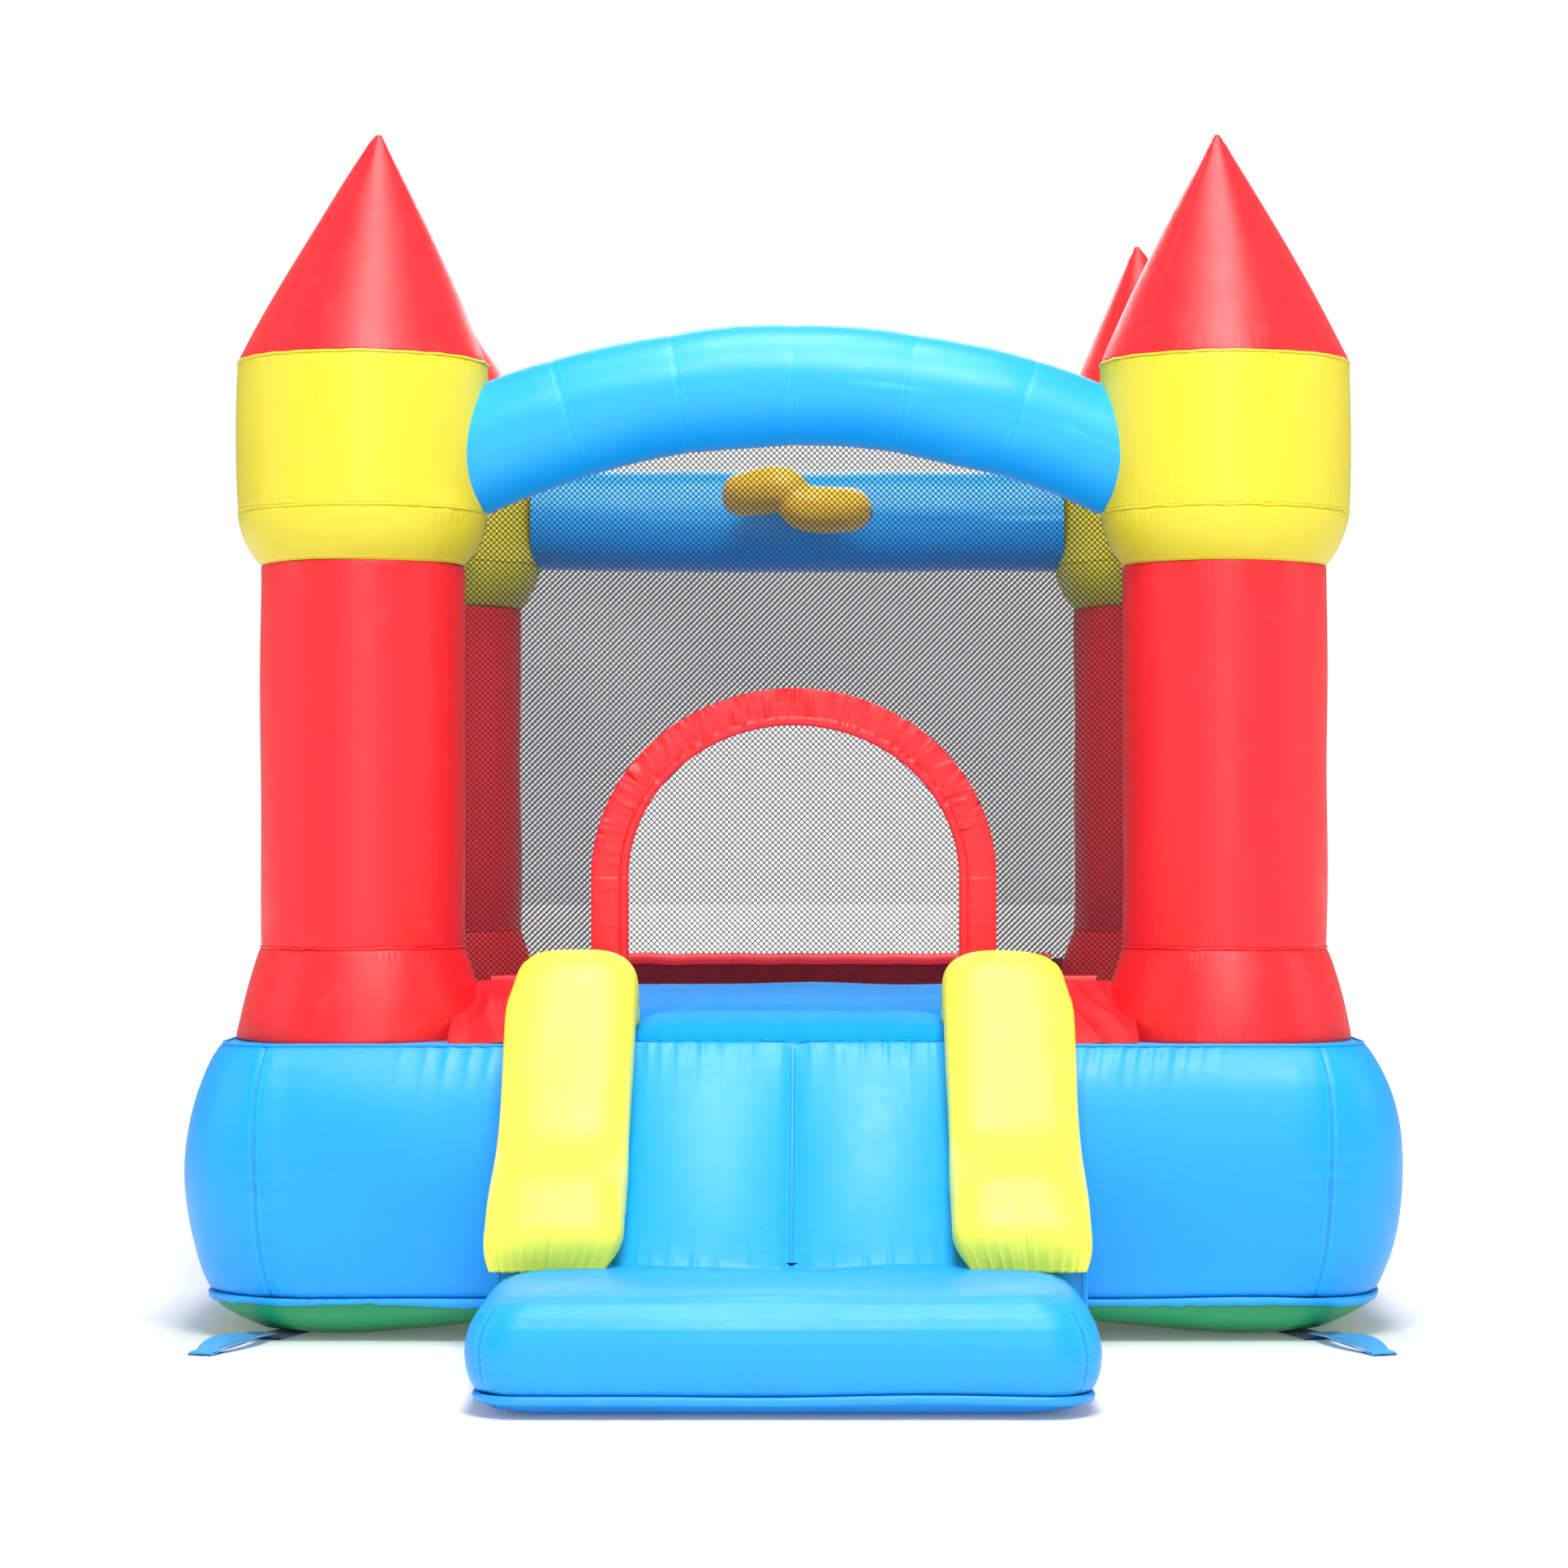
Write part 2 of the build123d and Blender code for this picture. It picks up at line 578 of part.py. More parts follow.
def write_housing():
    """The two housing halves and the screws that join them."""
    outside, hollow = housing_blocks()
    shell = outside - hollow - across(-DRUM_HALF - 5, 0, 0, INTAKE_R, 0) - across(0, 0, 0, MOTOR_R + 0.5, DRUM_HALF + 5)
    screws = []
    for angle in BOSS_ANGLES:
        y, z = round_at(angle)
        shell -= across(-20, y, z, SCREW_R + 0.1, 20)
        screws.append(solids_of(across(-14, y, z, SCREW_R, 16) + across(14, y, z, SCREW_HEAD_R, 17.5))[0])
    big = 400
    save("blower_housing_left", solids_of(shell & fan_box(-big, 0, -big, big, -big, big))[0])
    save("blower_housing_right", solids_of(shell & fan_box(0, big, -big, big, -big, big))[0])
    save("blower_housing_screws", *screws)
    return outside


def write_fan():
    """The impeller on its shaft, and the motor that turns it."""
    back, rim, inner_r = 12, -42, IMPELLER_R - 26
    wheel = across(back, 0, 0, IMPELLER_R, back + 3)
    wheel += across(rim - 3, 0, 0, IMPELLER_R, rim) - across(rim - 4, 0, 0, inner_r, rim + 1)
    wheel += across(-10, 0, 0, 16, back) + across(back, 0, 0, SHAFT_R, 50)
    blade = Pos(0, 0, (back + rim) / 2) * Rot(0, 0, 35) * Box(30, 2, back - rim + 2)
    ring_r = (IMPELLER_R + inner_r) / 2
    blades = [Rot(0, 0, i * 360 / BLADES) * Pos(ring_r, 0, 0) * blade for i in range(BLADES)]
    trim = across(rim - 3, 0, 0, IMPELLER_R, back + 3)
    for one in blades:
        wheel += at_fan(one) & trim
    save("blower_impeller", solids_of(wheel)[0])
    motor = across(20, 0, 0, MOTOR_R, 96) + across(DRUM_HALF, 0, 0, MOTOR_R + 10, DRUM_HALF + 5)
    motor += across(96, 0, 0, MOTOR_R - 8, 101)
    motor -= across(19, 0, 0, SHAFT_R + SHAFT_GAP, 52)
    save("blower_motor", solids_of(motor)[0])


def write_grille():
    """The guard over the intake: rings on spokes."""
    x0, x1 = -DRUM_HALF - 5, -DRUM_HALF
    guard = across(x0, 0, 0, INTAKE_R + 9, x1) - across(x0 - 1, 0, 0, INTAKE_R - 1, x1 + 1)
    for radius in (18, 36, 54):
        guard += across(x0, 0, 0, radius + 2, x1) - across(x0 - 1, 0, 0, radius - 1.5, x1 + 1)
    guard += across(x0, 0, 0, 7, x1)
    for i in range(4):
        guard += at_fan(Pos(0, 0, (x0 + x1) / 2) * Rot(0, 0, i * 45) * Box(2 * INTAKE_R + 4, 3.5, x1 - x0))
    save("blower_intake_grille", solids_of(guard)[0])


def write_blower_fittings(outside):
    """The handle, stand, feet, switch and gland."""
    top = FAN_Z + DRUM_R + 52
    path = FilletPolyline(
        (FAN_X, FAN_Y - 78, FAN_Z + 90),
        (FAN_X, FAN_Y - 62, top),
        (FAN_X, FAN_Y + 62, top),
        (FAN_X, FAN_Y + 78, FAN_Z + 90),
        radius=24,
    )
    bar = sweep(Plane(origin=path @ 0, z_dir=path % 0) * Circle(11), path=path)
    save("blower_handle", max((bar - outside).solids(), key=lambda s: s.bounding_box().max.Z))

    stand = fan_box(-80, 80, -110, 112, 18, 30)
    for x in (-62, 50):
        stand += fan_box(x, x + 12, -100, 100, 30, 100)
    save("blower_stand", solids_of(stand - outside)[0])
    feet = [
        Pos(FAN_X + x, FAN_Y + y, 9) * Cylinder(15, 18) for x in (-60, 60) for y in (-90, 92)
    ]
    save("blower_feet", *feet)

    box = fan_box(DRUM_HALF, DRUM_HALF + 30, 60, 116, FAN_Z - 30, FAN_Z + 32)
    face = DRUM_HALF + 30
    box -= fan_box(face - 13, face + 1, 79.2, 96.8, FAN_Z - 12.5, FAN_Z + 14.5)
    gland = Pos(FAN_X + face - 15, FAN_Y + 88, FAN_Z - 30)
    stem = Pos(0, 0, -9) * Cylinder(9, 18) + Pos(0, 0, -4) * Cylinder(12, 6)
    stem -= Pos(0, 0, -10) * Cylinder(3.5, 30)
    save("blower_switch_box", solids_of(box)[0], solids_of(gland * (stem & Pos(0, 0, -15) * Box(60, 60, 30)))[0])
    rocker = fan_box(face - 9, face + 3, 80, 96, FAN_Z - 11, FAN_Z + 13)
    pivot = Axis((FAN_X + face - 4, FAN_Y + 88, FAN_Z + 1), (0, 1, 0))
    rocker = fillet(rocker.edges().filter_by(Axis.Y).group_by(Axis.X)[-1], 2.5)
    save("blower_switch_rocker", rocker.rotate(pivot, -7))


def write_inflation_tube(wall_block, outside):
    """The cloth sleeve from the house to the blower, and the strap that grips it."""
    stations = [(890, PORT_Z, PORT_R), (1040, 128, 68), (1150, 99, 59), (1215, OUTLET_Z, OUTLET_R + 2.4)]

    def sleeve(inset):
        rings = [
            Plane((FAN_X, y, z), x_dir=(1, 0, 0), z_dir=(0, 1, 0)) * Circle(r - inset) for y, z, r in stations
        ]
        return loft(rings)

    tube = sleeve(0) - sleeve(SKIN) - wall_block - outside
    tube -= Pos(FAN_X, 1215, OUTLET_Z) * Rot(90, 0, 0) * Cylinder(100, 60)
    save("inflation_tube", max(tube.solids(), key=lambda s: s.volume))
    middle = Pos(FAN_X, 1166, 99)
    grip = sleeve(-3) - sleeve(-0.5)
    strap = grip & Pos(FAN_X, 1166, 99) * Box(200, 26, 200)
    buckle = middle * Pos(0, 0, 63) * Box(36, 26, 10)
    strap = solids_of(strap + (buckle - sleeve(-0.5)))[0]
    save("inflation_tube_strap", strap)


def main():
    os.makedirs("parts", exist_ok=True)
    block = tower_block()
    towers = Compound(children=[Pos(x, y, 0) * block for x, y in TOWERS.values()])
    write_towers()
    wall_block, under_block = write_base(towers)
    write_webs(wall_block, under_block)
    arch_blocks, beam_blocks = write_beams(towers)
    rails = write_slide(wall_block, under_block)
    write_netting(towers, arch_blocks, beam_blocks, rails)
    write_hoop(beam_blocks[0])
    tabs = write_straps()
    save("anchor_tabs", *[solids_of(tab - under_block)[0] for tab in tabs])
    outside = write_housing()
    write_fan()
    write_grille()
    write_blower_fittings(outside)
    write_inflation_tube(wall_block, outside)


main()
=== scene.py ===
import math

import bpy
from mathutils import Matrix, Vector
import numpy as np


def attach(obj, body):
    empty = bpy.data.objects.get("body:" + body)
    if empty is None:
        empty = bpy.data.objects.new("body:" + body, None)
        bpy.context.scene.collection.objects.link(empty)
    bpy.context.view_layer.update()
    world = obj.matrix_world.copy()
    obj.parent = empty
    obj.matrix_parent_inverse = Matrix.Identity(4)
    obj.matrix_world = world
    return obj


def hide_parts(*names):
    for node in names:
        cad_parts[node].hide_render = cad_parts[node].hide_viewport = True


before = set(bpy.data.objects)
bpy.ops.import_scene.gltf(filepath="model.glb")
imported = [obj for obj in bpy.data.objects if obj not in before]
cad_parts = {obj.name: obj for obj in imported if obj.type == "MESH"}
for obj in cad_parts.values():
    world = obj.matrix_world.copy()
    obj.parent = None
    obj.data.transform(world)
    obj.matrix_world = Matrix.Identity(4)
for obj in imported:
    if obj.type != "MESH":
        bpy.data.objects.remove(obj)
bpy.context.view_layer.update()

PI = math.pi

# Sizes in metres, as in the CAD model
TOWER_X, TOWER_Y = 0.722, 0.630
SKIRT_R, COLUMN_R, BAND_R, TIP_R = 0.212, 0.170, 0.208, 0.005
SKIRT_Z, COLUMN_Z, COLLAR_Z, BAND_Z, CONE_Z, TIP_Z = 0.482, 0.635, 1.272, 1.360, 1.610, 1.995
SEAM_Z, BASE_TOP = 0.075, 0.480
FLOOR_X, FLOOR_Y, FLOOR_VALLEY, FLOOR_CROWN = 0.715, 0.622, 0.486, 0.530
BEAM_R, BEAM_Z = 0.100, 1.450
ARCH_R, ARCH_TOP_Z, ARCH_END_X, ARCH_END_Z = 0.1015, 1.576, 0.528, 1.463
ARCH_RISE = ARCH_TOP_Z - ARCH_END_Z
ARCH_BEND = (ARCH_END_X ** 2 + ARCH_RISE ** 2) / (2 * ARCH_RISE)
APRON_TOP, NET_FOOT = 0.577, 0.4845
DOOR_X, DOOR_SPRING_Z, DOOR_TOP_Z, DOOR_TRIM = 0.340, 0.750, 1.068, 0.063
SLIDE_X = 0.444
RAMP = ((-0.930, 0.490), (-1.100, 0.305), (-1.345, 0.170))
LANDING_X, LANDING_FRONT = 0.448, -1.735
LOOP_ROOT, LOOP_TIP = np.array([0.862, 0.822]), np.array([0.935, 1.030])
FAN_X, STRAP_Y, STRAP_Z = 0.42, 1.166, 0.099
RAMP_LENGTH, PAD_HALF = 0.53, 0.262
CORNERS = {"front_left": (-1, -1), "front_right": (1, -1), "rear_left": (-1, 1), "rear_right": (1, 1)}


# Numbers


def ripple(x, low, high, seed, count=9, whole=False):
    """A seeded sum of sines of x with low to high cycles a unit, about -1 to 1."""
    r = np.random.default_rng(seed)
    f = r.integers(int(low), int(high) + 1, count) if whole else r.uniform(low, high, count)
    p, a = r.uniform(0, 2 * PI, count), r.uniform(0.5, 1, count)
    total = sum(a[i] * np.sin(2 * PI * f[i] * x + p[i]) for i in range(count))
    return total / math.sqrt((a * a).sum() / 2) / 1.6


def blotch(x, y, size, seed, count=14):
    """Seeded smooth noise over a surface with lumps of about that size, about -1 to 1."""
    r = np.random.default_rng(seed)
    total = 0
    for _ in range(count):
        a, k = r.uniform(0, 2 * PI), r.uniform(0.5, 1.5) * PI / size
        total = total + np.sin(k * (x * math.cos(a) + y * math.sin(a)) + r.uniform(0, 2 * PI))
    return total / math.sqrt(count / 2) / 1.6


def pinched(x, sharp=1.6):
    """Ridges with narrow valleys between them, from a ripple."""
    return 1 - np.abs(np.clip(x, -1, 1)) ** (1 / sharp) * 2


def gathers(x, low, high, seed, low2, high2, seed2, k=1.6):
    """Ridges that come and go along a seam."""
    return pinched(ripple(x, low, high, seed)) * (0.5
                                                  + 0.5 * np.clip(ripple(x, low2, high2, seed2) * k, -1, 1))


def fade(d, size):
    return np.exp(-np.abs(d) / size)


def bell(d, size):
    return np.exp(-((d / size) ** 2))


def dense(n, length=1.0):
    """n steps from 0 to length, close together at both ends."""
    return length * (0.5 - 0.5 * np.cos(PI * np.linspace(0, 1, n)))


def bowed(a, b, bulge, t):
    """Points from a to b at t, on an arc that bows to its right by bulge."""
    a, b = np.array(a), np.array(b)
    d = b - a
    length = np.hypot(*d)
    out = np.array([d[1], -d[0]]) / length
    return a + np.outer(t, d) + np.outer(4 * t * (1 - t) * bulge, out)


def unit(x):
    return np.clip(x, 0, 1)


def xyz(x, y, z):
    """Points from three arrays that broadcast together."""
    return np.stack(np.broadcast_arrays(x, y, z), axis=-1)


def run(points):
    """How far along a line of points each one lies."""
    return np.concatenate([[0], np.cumsum(np.linalg.norm(np.diff(points, axis=0), axis=1))])


def square_to(way):
    """Unit vectors to the side of some directions, and above them."""
    way = way / np.linalg.norm(way, axis=1)[:, None]
    side = np.cross(way, [0, 0, 1.0])
    side /= np.linalg.norm(side, axis=1)[:, None]
    return side, np.cross(side, way)


def rounded(angle, half, power):
    """A cosine drawn out towards a square one, for the section of a strap."""
    return half * np.sign(np.cos(angle)) * np.abs(np.cos(angle)) ** power


def strap_frame(sx, sy):
    """The root of a corner's loop in plan, its tip, and the directions along and across it."""
    root, tip = LOOP_ROOT * (sx, sy), LOOP_TIP * (sx, sy)
    along = (tip - root) / np.linalg.norm(tip - root)
    return root, tip, along, np.array([-along[1], along[0]])


def arc_lengths(P, axis):
    step = np.linalg.norm(np.diff(P, axis=axis), axis=2)
    total = np.cumsum(step, axis=axis)
    zero = np.zeros_like(np.take(total, [0], axis=axis))
    return np.concatenate([zero, total], axis=axis)


# Meshes


def grid(name, P, material, close_u=False, fold=None, seam=None, flip=False):
    """A smooth quad mesh on the points P[row, column].

    fold is painted shade that darkens a crease, and seam is (along, away) for the stitches beside a seam.
    """
    m, n = P.shape[:2]
    u, v = arc_lengths(P, 1), arc_lengths(P, 0)
    if close_u:
        P = P[:, :-1]
    cols = P.shape[1]
    i, j = np.meshgrid(np.arange(m - 1), np.arange(n - 1), indexing="ij")
    k = (j + 1) % cols if close_u else j + 1
    quads = np.stack([i * cols + j, i * cols + k, (i + 1) * cols + k, (i + 1) * cols + j],
                     axis=-1).reshape(-1, 4)
    corner_i = np.stack([i, i, i + 1, i + 1], axis=-1).reshape(-1)
    corner_j = np.stack([j, j + 1, j + 1, j], axis=-1).reshape(-1)
    if flip:
        quads = quads[:, ::-1]
        corner_i = corner_i.reshape(-1, 4)[:, ::-1].reshape(-1)
        corner_j = corner_j.reshape(-1, 4)[:, ::-1].reshape(-1)
    mesh = bpy.data.meshes.new(name)
    mesh.vertices.add(m * cols)
    mesh.vertices.foreach_set("co", P.reshape(-1).astype(np.float32))
    mesh.loops.add(len(quads) * 4)
    mesh.loops.foreach_set("vertex_index", quads.reshape(-1).astype(np.int32))
    mesh.polygons.add(len(quads))
    mesh.polygons.foreach_set("loop_start", np.arange(0, len(quads) * 4, 4, dtype=np.int32))
    mesh.update(calc_edges=True)
    mesh.shade_smooth()
    layer = mesh.uv_layers.new(name="cloth")
    uv = np.stack([u[corner_i, corner_j], v[corner_i, corner_j]], axis=-1)
    layer.data.foreach_set("uv", uv.reshape(-1).astype(np.float32))
    if seam is not None:
        along, away = (np.broadcast_to(s, (m, n)) for s in seam)
        stitches = mesh.uv_layers.new(name="seam")
        uv = np.stack([along[corner_i, corner_j], away[corner_i, corner_j]], axis=-1)
        stitches.data.foreach_set("uv", uv.reshape(-1).astype(np.float32))
    # the fold attribute holds painted shade for creases, which the cloth material mixes in
    shade = mesh.attributes.new("fold", "FLOAT", "POINT")
    depth = np.zeros((m, cols)) if fold is None else np.broadcast_to(fold, (m, n))[:, :cols]
    shade.data.foreach_set("value", unit(depth).reshape(-1).astype(np.float32))
    mesh.materials.append(material)
    mesh.validate()
    o = bpy.data.objects.new(name, mesh)
    bpy.context.collection.objects.link(o)
    return o


def joined(name, objects):
    """Several meshes made into one piece."""
    for o in bpy.context.selected_objects:
        o.select_set(False)
    for o in objects:
        o.select_set(True)
    bpy.context.view_layer.objects.active = objects[0]
    if len(objects) > 1:
        bpy.ops.object.join()
    objects[0].name = name
    objects[0].select_set(False)
    return objects[0]


def place(o, *nodes, slot, body="house"):
    if nodes:
        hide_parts(*nodes)
    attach(o, body)
    return o


def tube(name, path, radius, material, sides=8, closed=False):
    """A round tube along a path of points."""
    path = np.asarray(path, float)
    if closed:
        path = np.vstack([path, path[:1]])
        way = np.roll(path[:-1], -1, 0) - np.roll(path[:-1], 1, 0)
        way = np.vstack([way, way[:1]])
    else:
        way = np.gradient(path, axis=0)
    way /= np.linalg.norm(way, axis=1)[:, None]
    up = np.where(np.abs(way[:, 2:3]) > 0.9, [[1.0, 0, 0]], [[0, 0, 1.0]])
    a = np.cross(way, up)
    a /= np.linalg.norm(a, axis=1)[:, None]
    b = np.cross(way, a)
    angle = np.linspace(0, 2 * PI, sides + 1)
    radius = np.broadcast_to(radius, len(path))
    ring = a[:, None] * np.cos(angle)[None, :, None] + b[:, None] * np.sin(angle)[None, :, None]
    return grid(name, path[:, None] + ring * radius[:, None, None], material, close_u=True)


# Materials


class Nodes:
    """A short way to write shader nodes."""

    def __init__(self, name):
        self.material = bpy.data.materials.new(name)
        self.material.use_nodes = True
        self.tree = self.material.node_tree
        self.shader = self.tree.nodes["Principled BSDF"]

    def add(self, kind, outputs=0, settings=None, **inputs):
        node = self.tree.nodes.new("ShaderNode" + kind)
        for key, value in (settings or {}).items():
            setattr(node, key, value)
        for key, value in inputs.items():
            self.put(node.inputs[int(key[1:]) if key[1:].isdigit() else key.replace("_", " ")], value)
        return node.outputs[outputs]

    def put(self, socket, value):
        if isinstance(value, bpy.types.NodeSocket):
            self.tree.links.new(value, socket)
        else:
            socket.default_value = value

    def maths(self, operation, a, b=0.0, c=0.0, clamp=False):
        return self.add("Math", settings={"operation": operation, "use_clamp": clamp}, i0=a, i1=b, i2=c)

    def mix(self, factor, a, b):
        return self.add("Mix", outputs=2, settings={"data_type": "RGBA"}, i0=factor, i6=a, i7=b)

    def spread(self, value, low, high, to_low, to_high):
        return self.add("MapRange", i0=value, i1=low, i2=high, i3=to_low, i4=to_high)

    def noise(self, vector, scale, detail=3.0, rough=0.55):
        return self.add("TexNoise", Vector=vector, Scale=scale, Detail=detail, Roughness=rough)

    def done(self, colour, roughness, normal=None, **fixed):
        self.put(self.shader.inputs["Base Color"], colour)
        self.put(self.shader.inputs["Roughness"], roughness)
        if normal is not None:
            self.put(self.shader.inputs["Normal"], normal)
        for key, value in fixed.items():
            self.shader.inputs[key.replace("_", " ")].default_value = value
        return self.material


def rgba(colour, k=1.0):
    return tuple(min(1.0, c * k) for c in colour) + (1.0,)


def cloth(name, colour, dark, rough=0.37, weave=0.0013, gloss=0.48, thread=1.25, grime=0.0, painted_glow=0.0):
    """Coated oxford cloth: a plain weave under a satin coating, with stitches beside the seams, painted shade in
    its creases and, for some pieces, a painted glow.
    """
    n = Nodes(name)
    uv = n.add("UVMap", settings={"uv_map": "cloth"})
    place_at = n.add("TexCoord", outputs=3)
    scale = 2 * PI / (20 * weave)
    over = n.add("TexWave", outputs=1, settings={"bands_direction": "X"}, Vector=uv, Scale=scale,
                 Distortion=0.6)
    under = n.add("TexWave", outputs=1, settings={"bands_direction": "Y"}, Vector=uv, Scale=scale,
                  Distortion=0.6)
    threads = n.maths("MULTIPLY", over, under)
    broad, fine = n.noise(place_at, 2.6, 2.0), n.noise(place_at, 420.0, 2.0)
    scuff = n.noise(place_at, 19.0, 6.0, 0.68)
    base = n.mix(n.spread(broad, 0.35, 0.65, 0.0, 0.5), rgba(colour), rgba(colour, 0.93))
    base = n.mix(n.spread(fine, 0.3, 0.7, 0.0, 0.16), base, rgba(dark))
    base = n.mix(n.maths("MULTIPLY", threads, 0.10), base, rgba(dark))
    # painted shade: the fold attribute mixes the dark colour into creases, seams and gather valleys
    fold = n.add("Attribute", outputs=2, settings={"attribute_name": "fold"})
    base = n.mix(n.maths("MULTIPLY", fold, 0.62, clamp=True), base, rgba(dark))
    seam = n.add("SeparateXYZ", i0=n.add("UVMap", settings={"uv_map": "seam"}))
    parts = seam.node.outputs
    row = n.maths("COMPARE", parts[1], 0.0068, 0.0007)
    dash = n.maths("LESS_THAN", n.maths("FRACT", n.maths("DIVIDE", parts[0], 0.0062)), 0.62)
    stitch = n.maths("MULTIPLY", row, dash)
    base = n.mix(n.maths("MULTIPLY", stitch, 0.8), base, rgba(colour, thread))
    wear = n.spread(scuff, 0.60, 0.74, 0.0, 1.0)
    base = n.mix(n.maths("MULTIPLY", wear, 0.02), base, (0.9, 0.9, 0.9, 1.0))
    if grime:
        height = n.add("SeparateXYZ", i0=n.add("NewGeometry")).node.outputs[2]
        low = n.maths("MULTIPLY", n.spread(height, 0.0, 0.12, grime, 0.0),
                      n.spread(scuff, 0.35, 0.65, 0.2, 1.0))
        base = n.mix(low, base, (0.25, 0.22, 0.18, 1.0))
    shine = n.maths("ADD", n.spread(scuff, 0.3, 0.7, rough - 0.05, rough + 0.08),
                    n.maths("MULTIPLY", threads, 0.05))
    relief = n.maths("ADD", n.maths("MULTIPLY", threads, 0.6), n.maths("MULTIPLY", stitch, 2.5))
    normal = n.add("Bump", Strength=0.30, Distance=0.0004, Height=relief)
    normal = n.add("Bump", Strength=0.16, Distance=0.004, Height=n.noise(place_at, 32.0, 3.0), Normal=normal)
    # emission at the glow strength is a painted glow, as of light coming through thin cloth
    return n.done(base, shine, normal, Sheen_Weight=0.03, Sheen_Roughness=0.4, Sheen_Tint=rgba(colour),
                  Specular_IOR_Level=gloss, Emission_Color=rgba(colour), Emission_Strength=painted_glow)


def cord_material(name, colour):
    n = Nodes(name)
    at = n.add("TexCoord", outputs=3)
    base = n.mix(n.noise(at, 160.0), rgba(colour), rgba(colour, 2.2))
    return n.done(base, 0.7, n.add("Bump", Strength=0.3, Distance=0.0004, Height=n.noise(at, 900.0)),
                  Sheen_Weight=0.1)


def ribbed(name, colour, pitch=0.0022):
    """Webbing: ribs across its width and a slightly fuzzy face."""
    n = Nodes(name)
    at = n.add("TexCoord", outputs=3)
    scale = 2 * PI / (20 * pitch)
    wave = {"bands_direction": "DIAGONAL"}
    ribs = n.add("TexWave", outputs=1, settings=wave, Vector=at, Scale=scale, Distortion=0.4)
    grain = n.noise(at, 500.0)
    base = n.mix(n.maths("MULTIPLY", ribs, 0.5), rgba(colour), rgba(colour, 0.55))
    base = n.mix(n.spread(grain, 0.3, 0.7, 0.0, 0.3), base, rgba(colour, 1.5))
    normal = n.add("Bump", Strength=0.6, Distance=0.0008,
                   Height=n.maths("ADD", ribs, n.maths("MULTIPLY", grain, 0.3)))
    return n.done(base, 0.66, normal, Sheen_Weight=0.3)


def moulded(name, colour, rough, grain=260.0, depth=0.00025, scuffs=0.25, metal=0.0):
    """Moulded plastic, rubber or metal with a fine texture, rubbed a little in places."""
    n = Nodes(name)
    at = n.add("TexCoord", outputs=3)
    small, large = n.noise(at, grain, 4.0, 0.6), n.noise(at, 14.0, 5.0, 0.65)
    base = n.mix(n.spread(large, 0.35, 0.7, 0.0, 0.35), rgba(colour), rgba(colour, 0.8))
    rubbed = n.maths("MULTIPLY", n.spread(large, 0.56, 0.72, 0.0, 1.0), scuffs)
    base = n.mix(rubbed, base, rgba(tuple(0.25 + 0.75 * c for c in colour)))
    shine = n.maths("ADD", n.spread(large, 0.3, 0.7, rough - 0.06, rough + 0.1),
                    n.maths("MULTIPLY", small, 0.05))
    return n.done(base, shine, n.add("Bump", Strength=0.35, Distance=depth, Height=small), Metallic=metal)


RED = cloth("red cloth", (0.93, 0.012, 0.018), (0.42, 0.003, 0.006))
# the apron cloth has a painted glow: emission standing in for light that comes through it
APRON_PAINTED_GLOW = cloth("apron red cloth with painted glow", (0.93, 0.012, 0.018), (0.42, 0.003, 0.006), painted_glow=0.17)
BAND = cloth("band yellow cloth", (0.74, 0.64, 0.025), (0.38, 0.29, 0.010))
RAIL = cloth("rail yellow cloth", (0.96, 0.95, 0.085), (0.66, 0.56, 0.03))
HOOP = cloth("hoop yellow cloth", (0.88, 0.54, 0.02), (0.45, 0.22, 0.01))
BLUE = cloth("blue cloth", (0.001, 0.385, 0.95), (0.001, 0.10, 0.52), thread=1.6, grime=0.06)
FLOOR_BLUE = cloth("floor blue cloth", (0.001, 0.33, 0.90), (0.001, 0.06, 0.40), rough=0.6, gloss=0.10,
                   thread=1.6)
GREEN = cloth("green cloth", (0.003, 0.40, 0.13), (0.001, 0.14, 0.05), grime=0.15)
TUBE = cloth("air tube cloth", (0.01, 0.20, 0.70), (0.01, 0.07, 0.35), rough=0.5, grime=0.12)
NET = cord_material("netting cord", (0.010, 0.010, 0.012))
WEBBING = ribbed("blue webbing", (0.02, 0.36, 0.80))
BLACK_WEBBING = ribbed("black webbing", (0.02, 0.02, 0.024))


# Towers


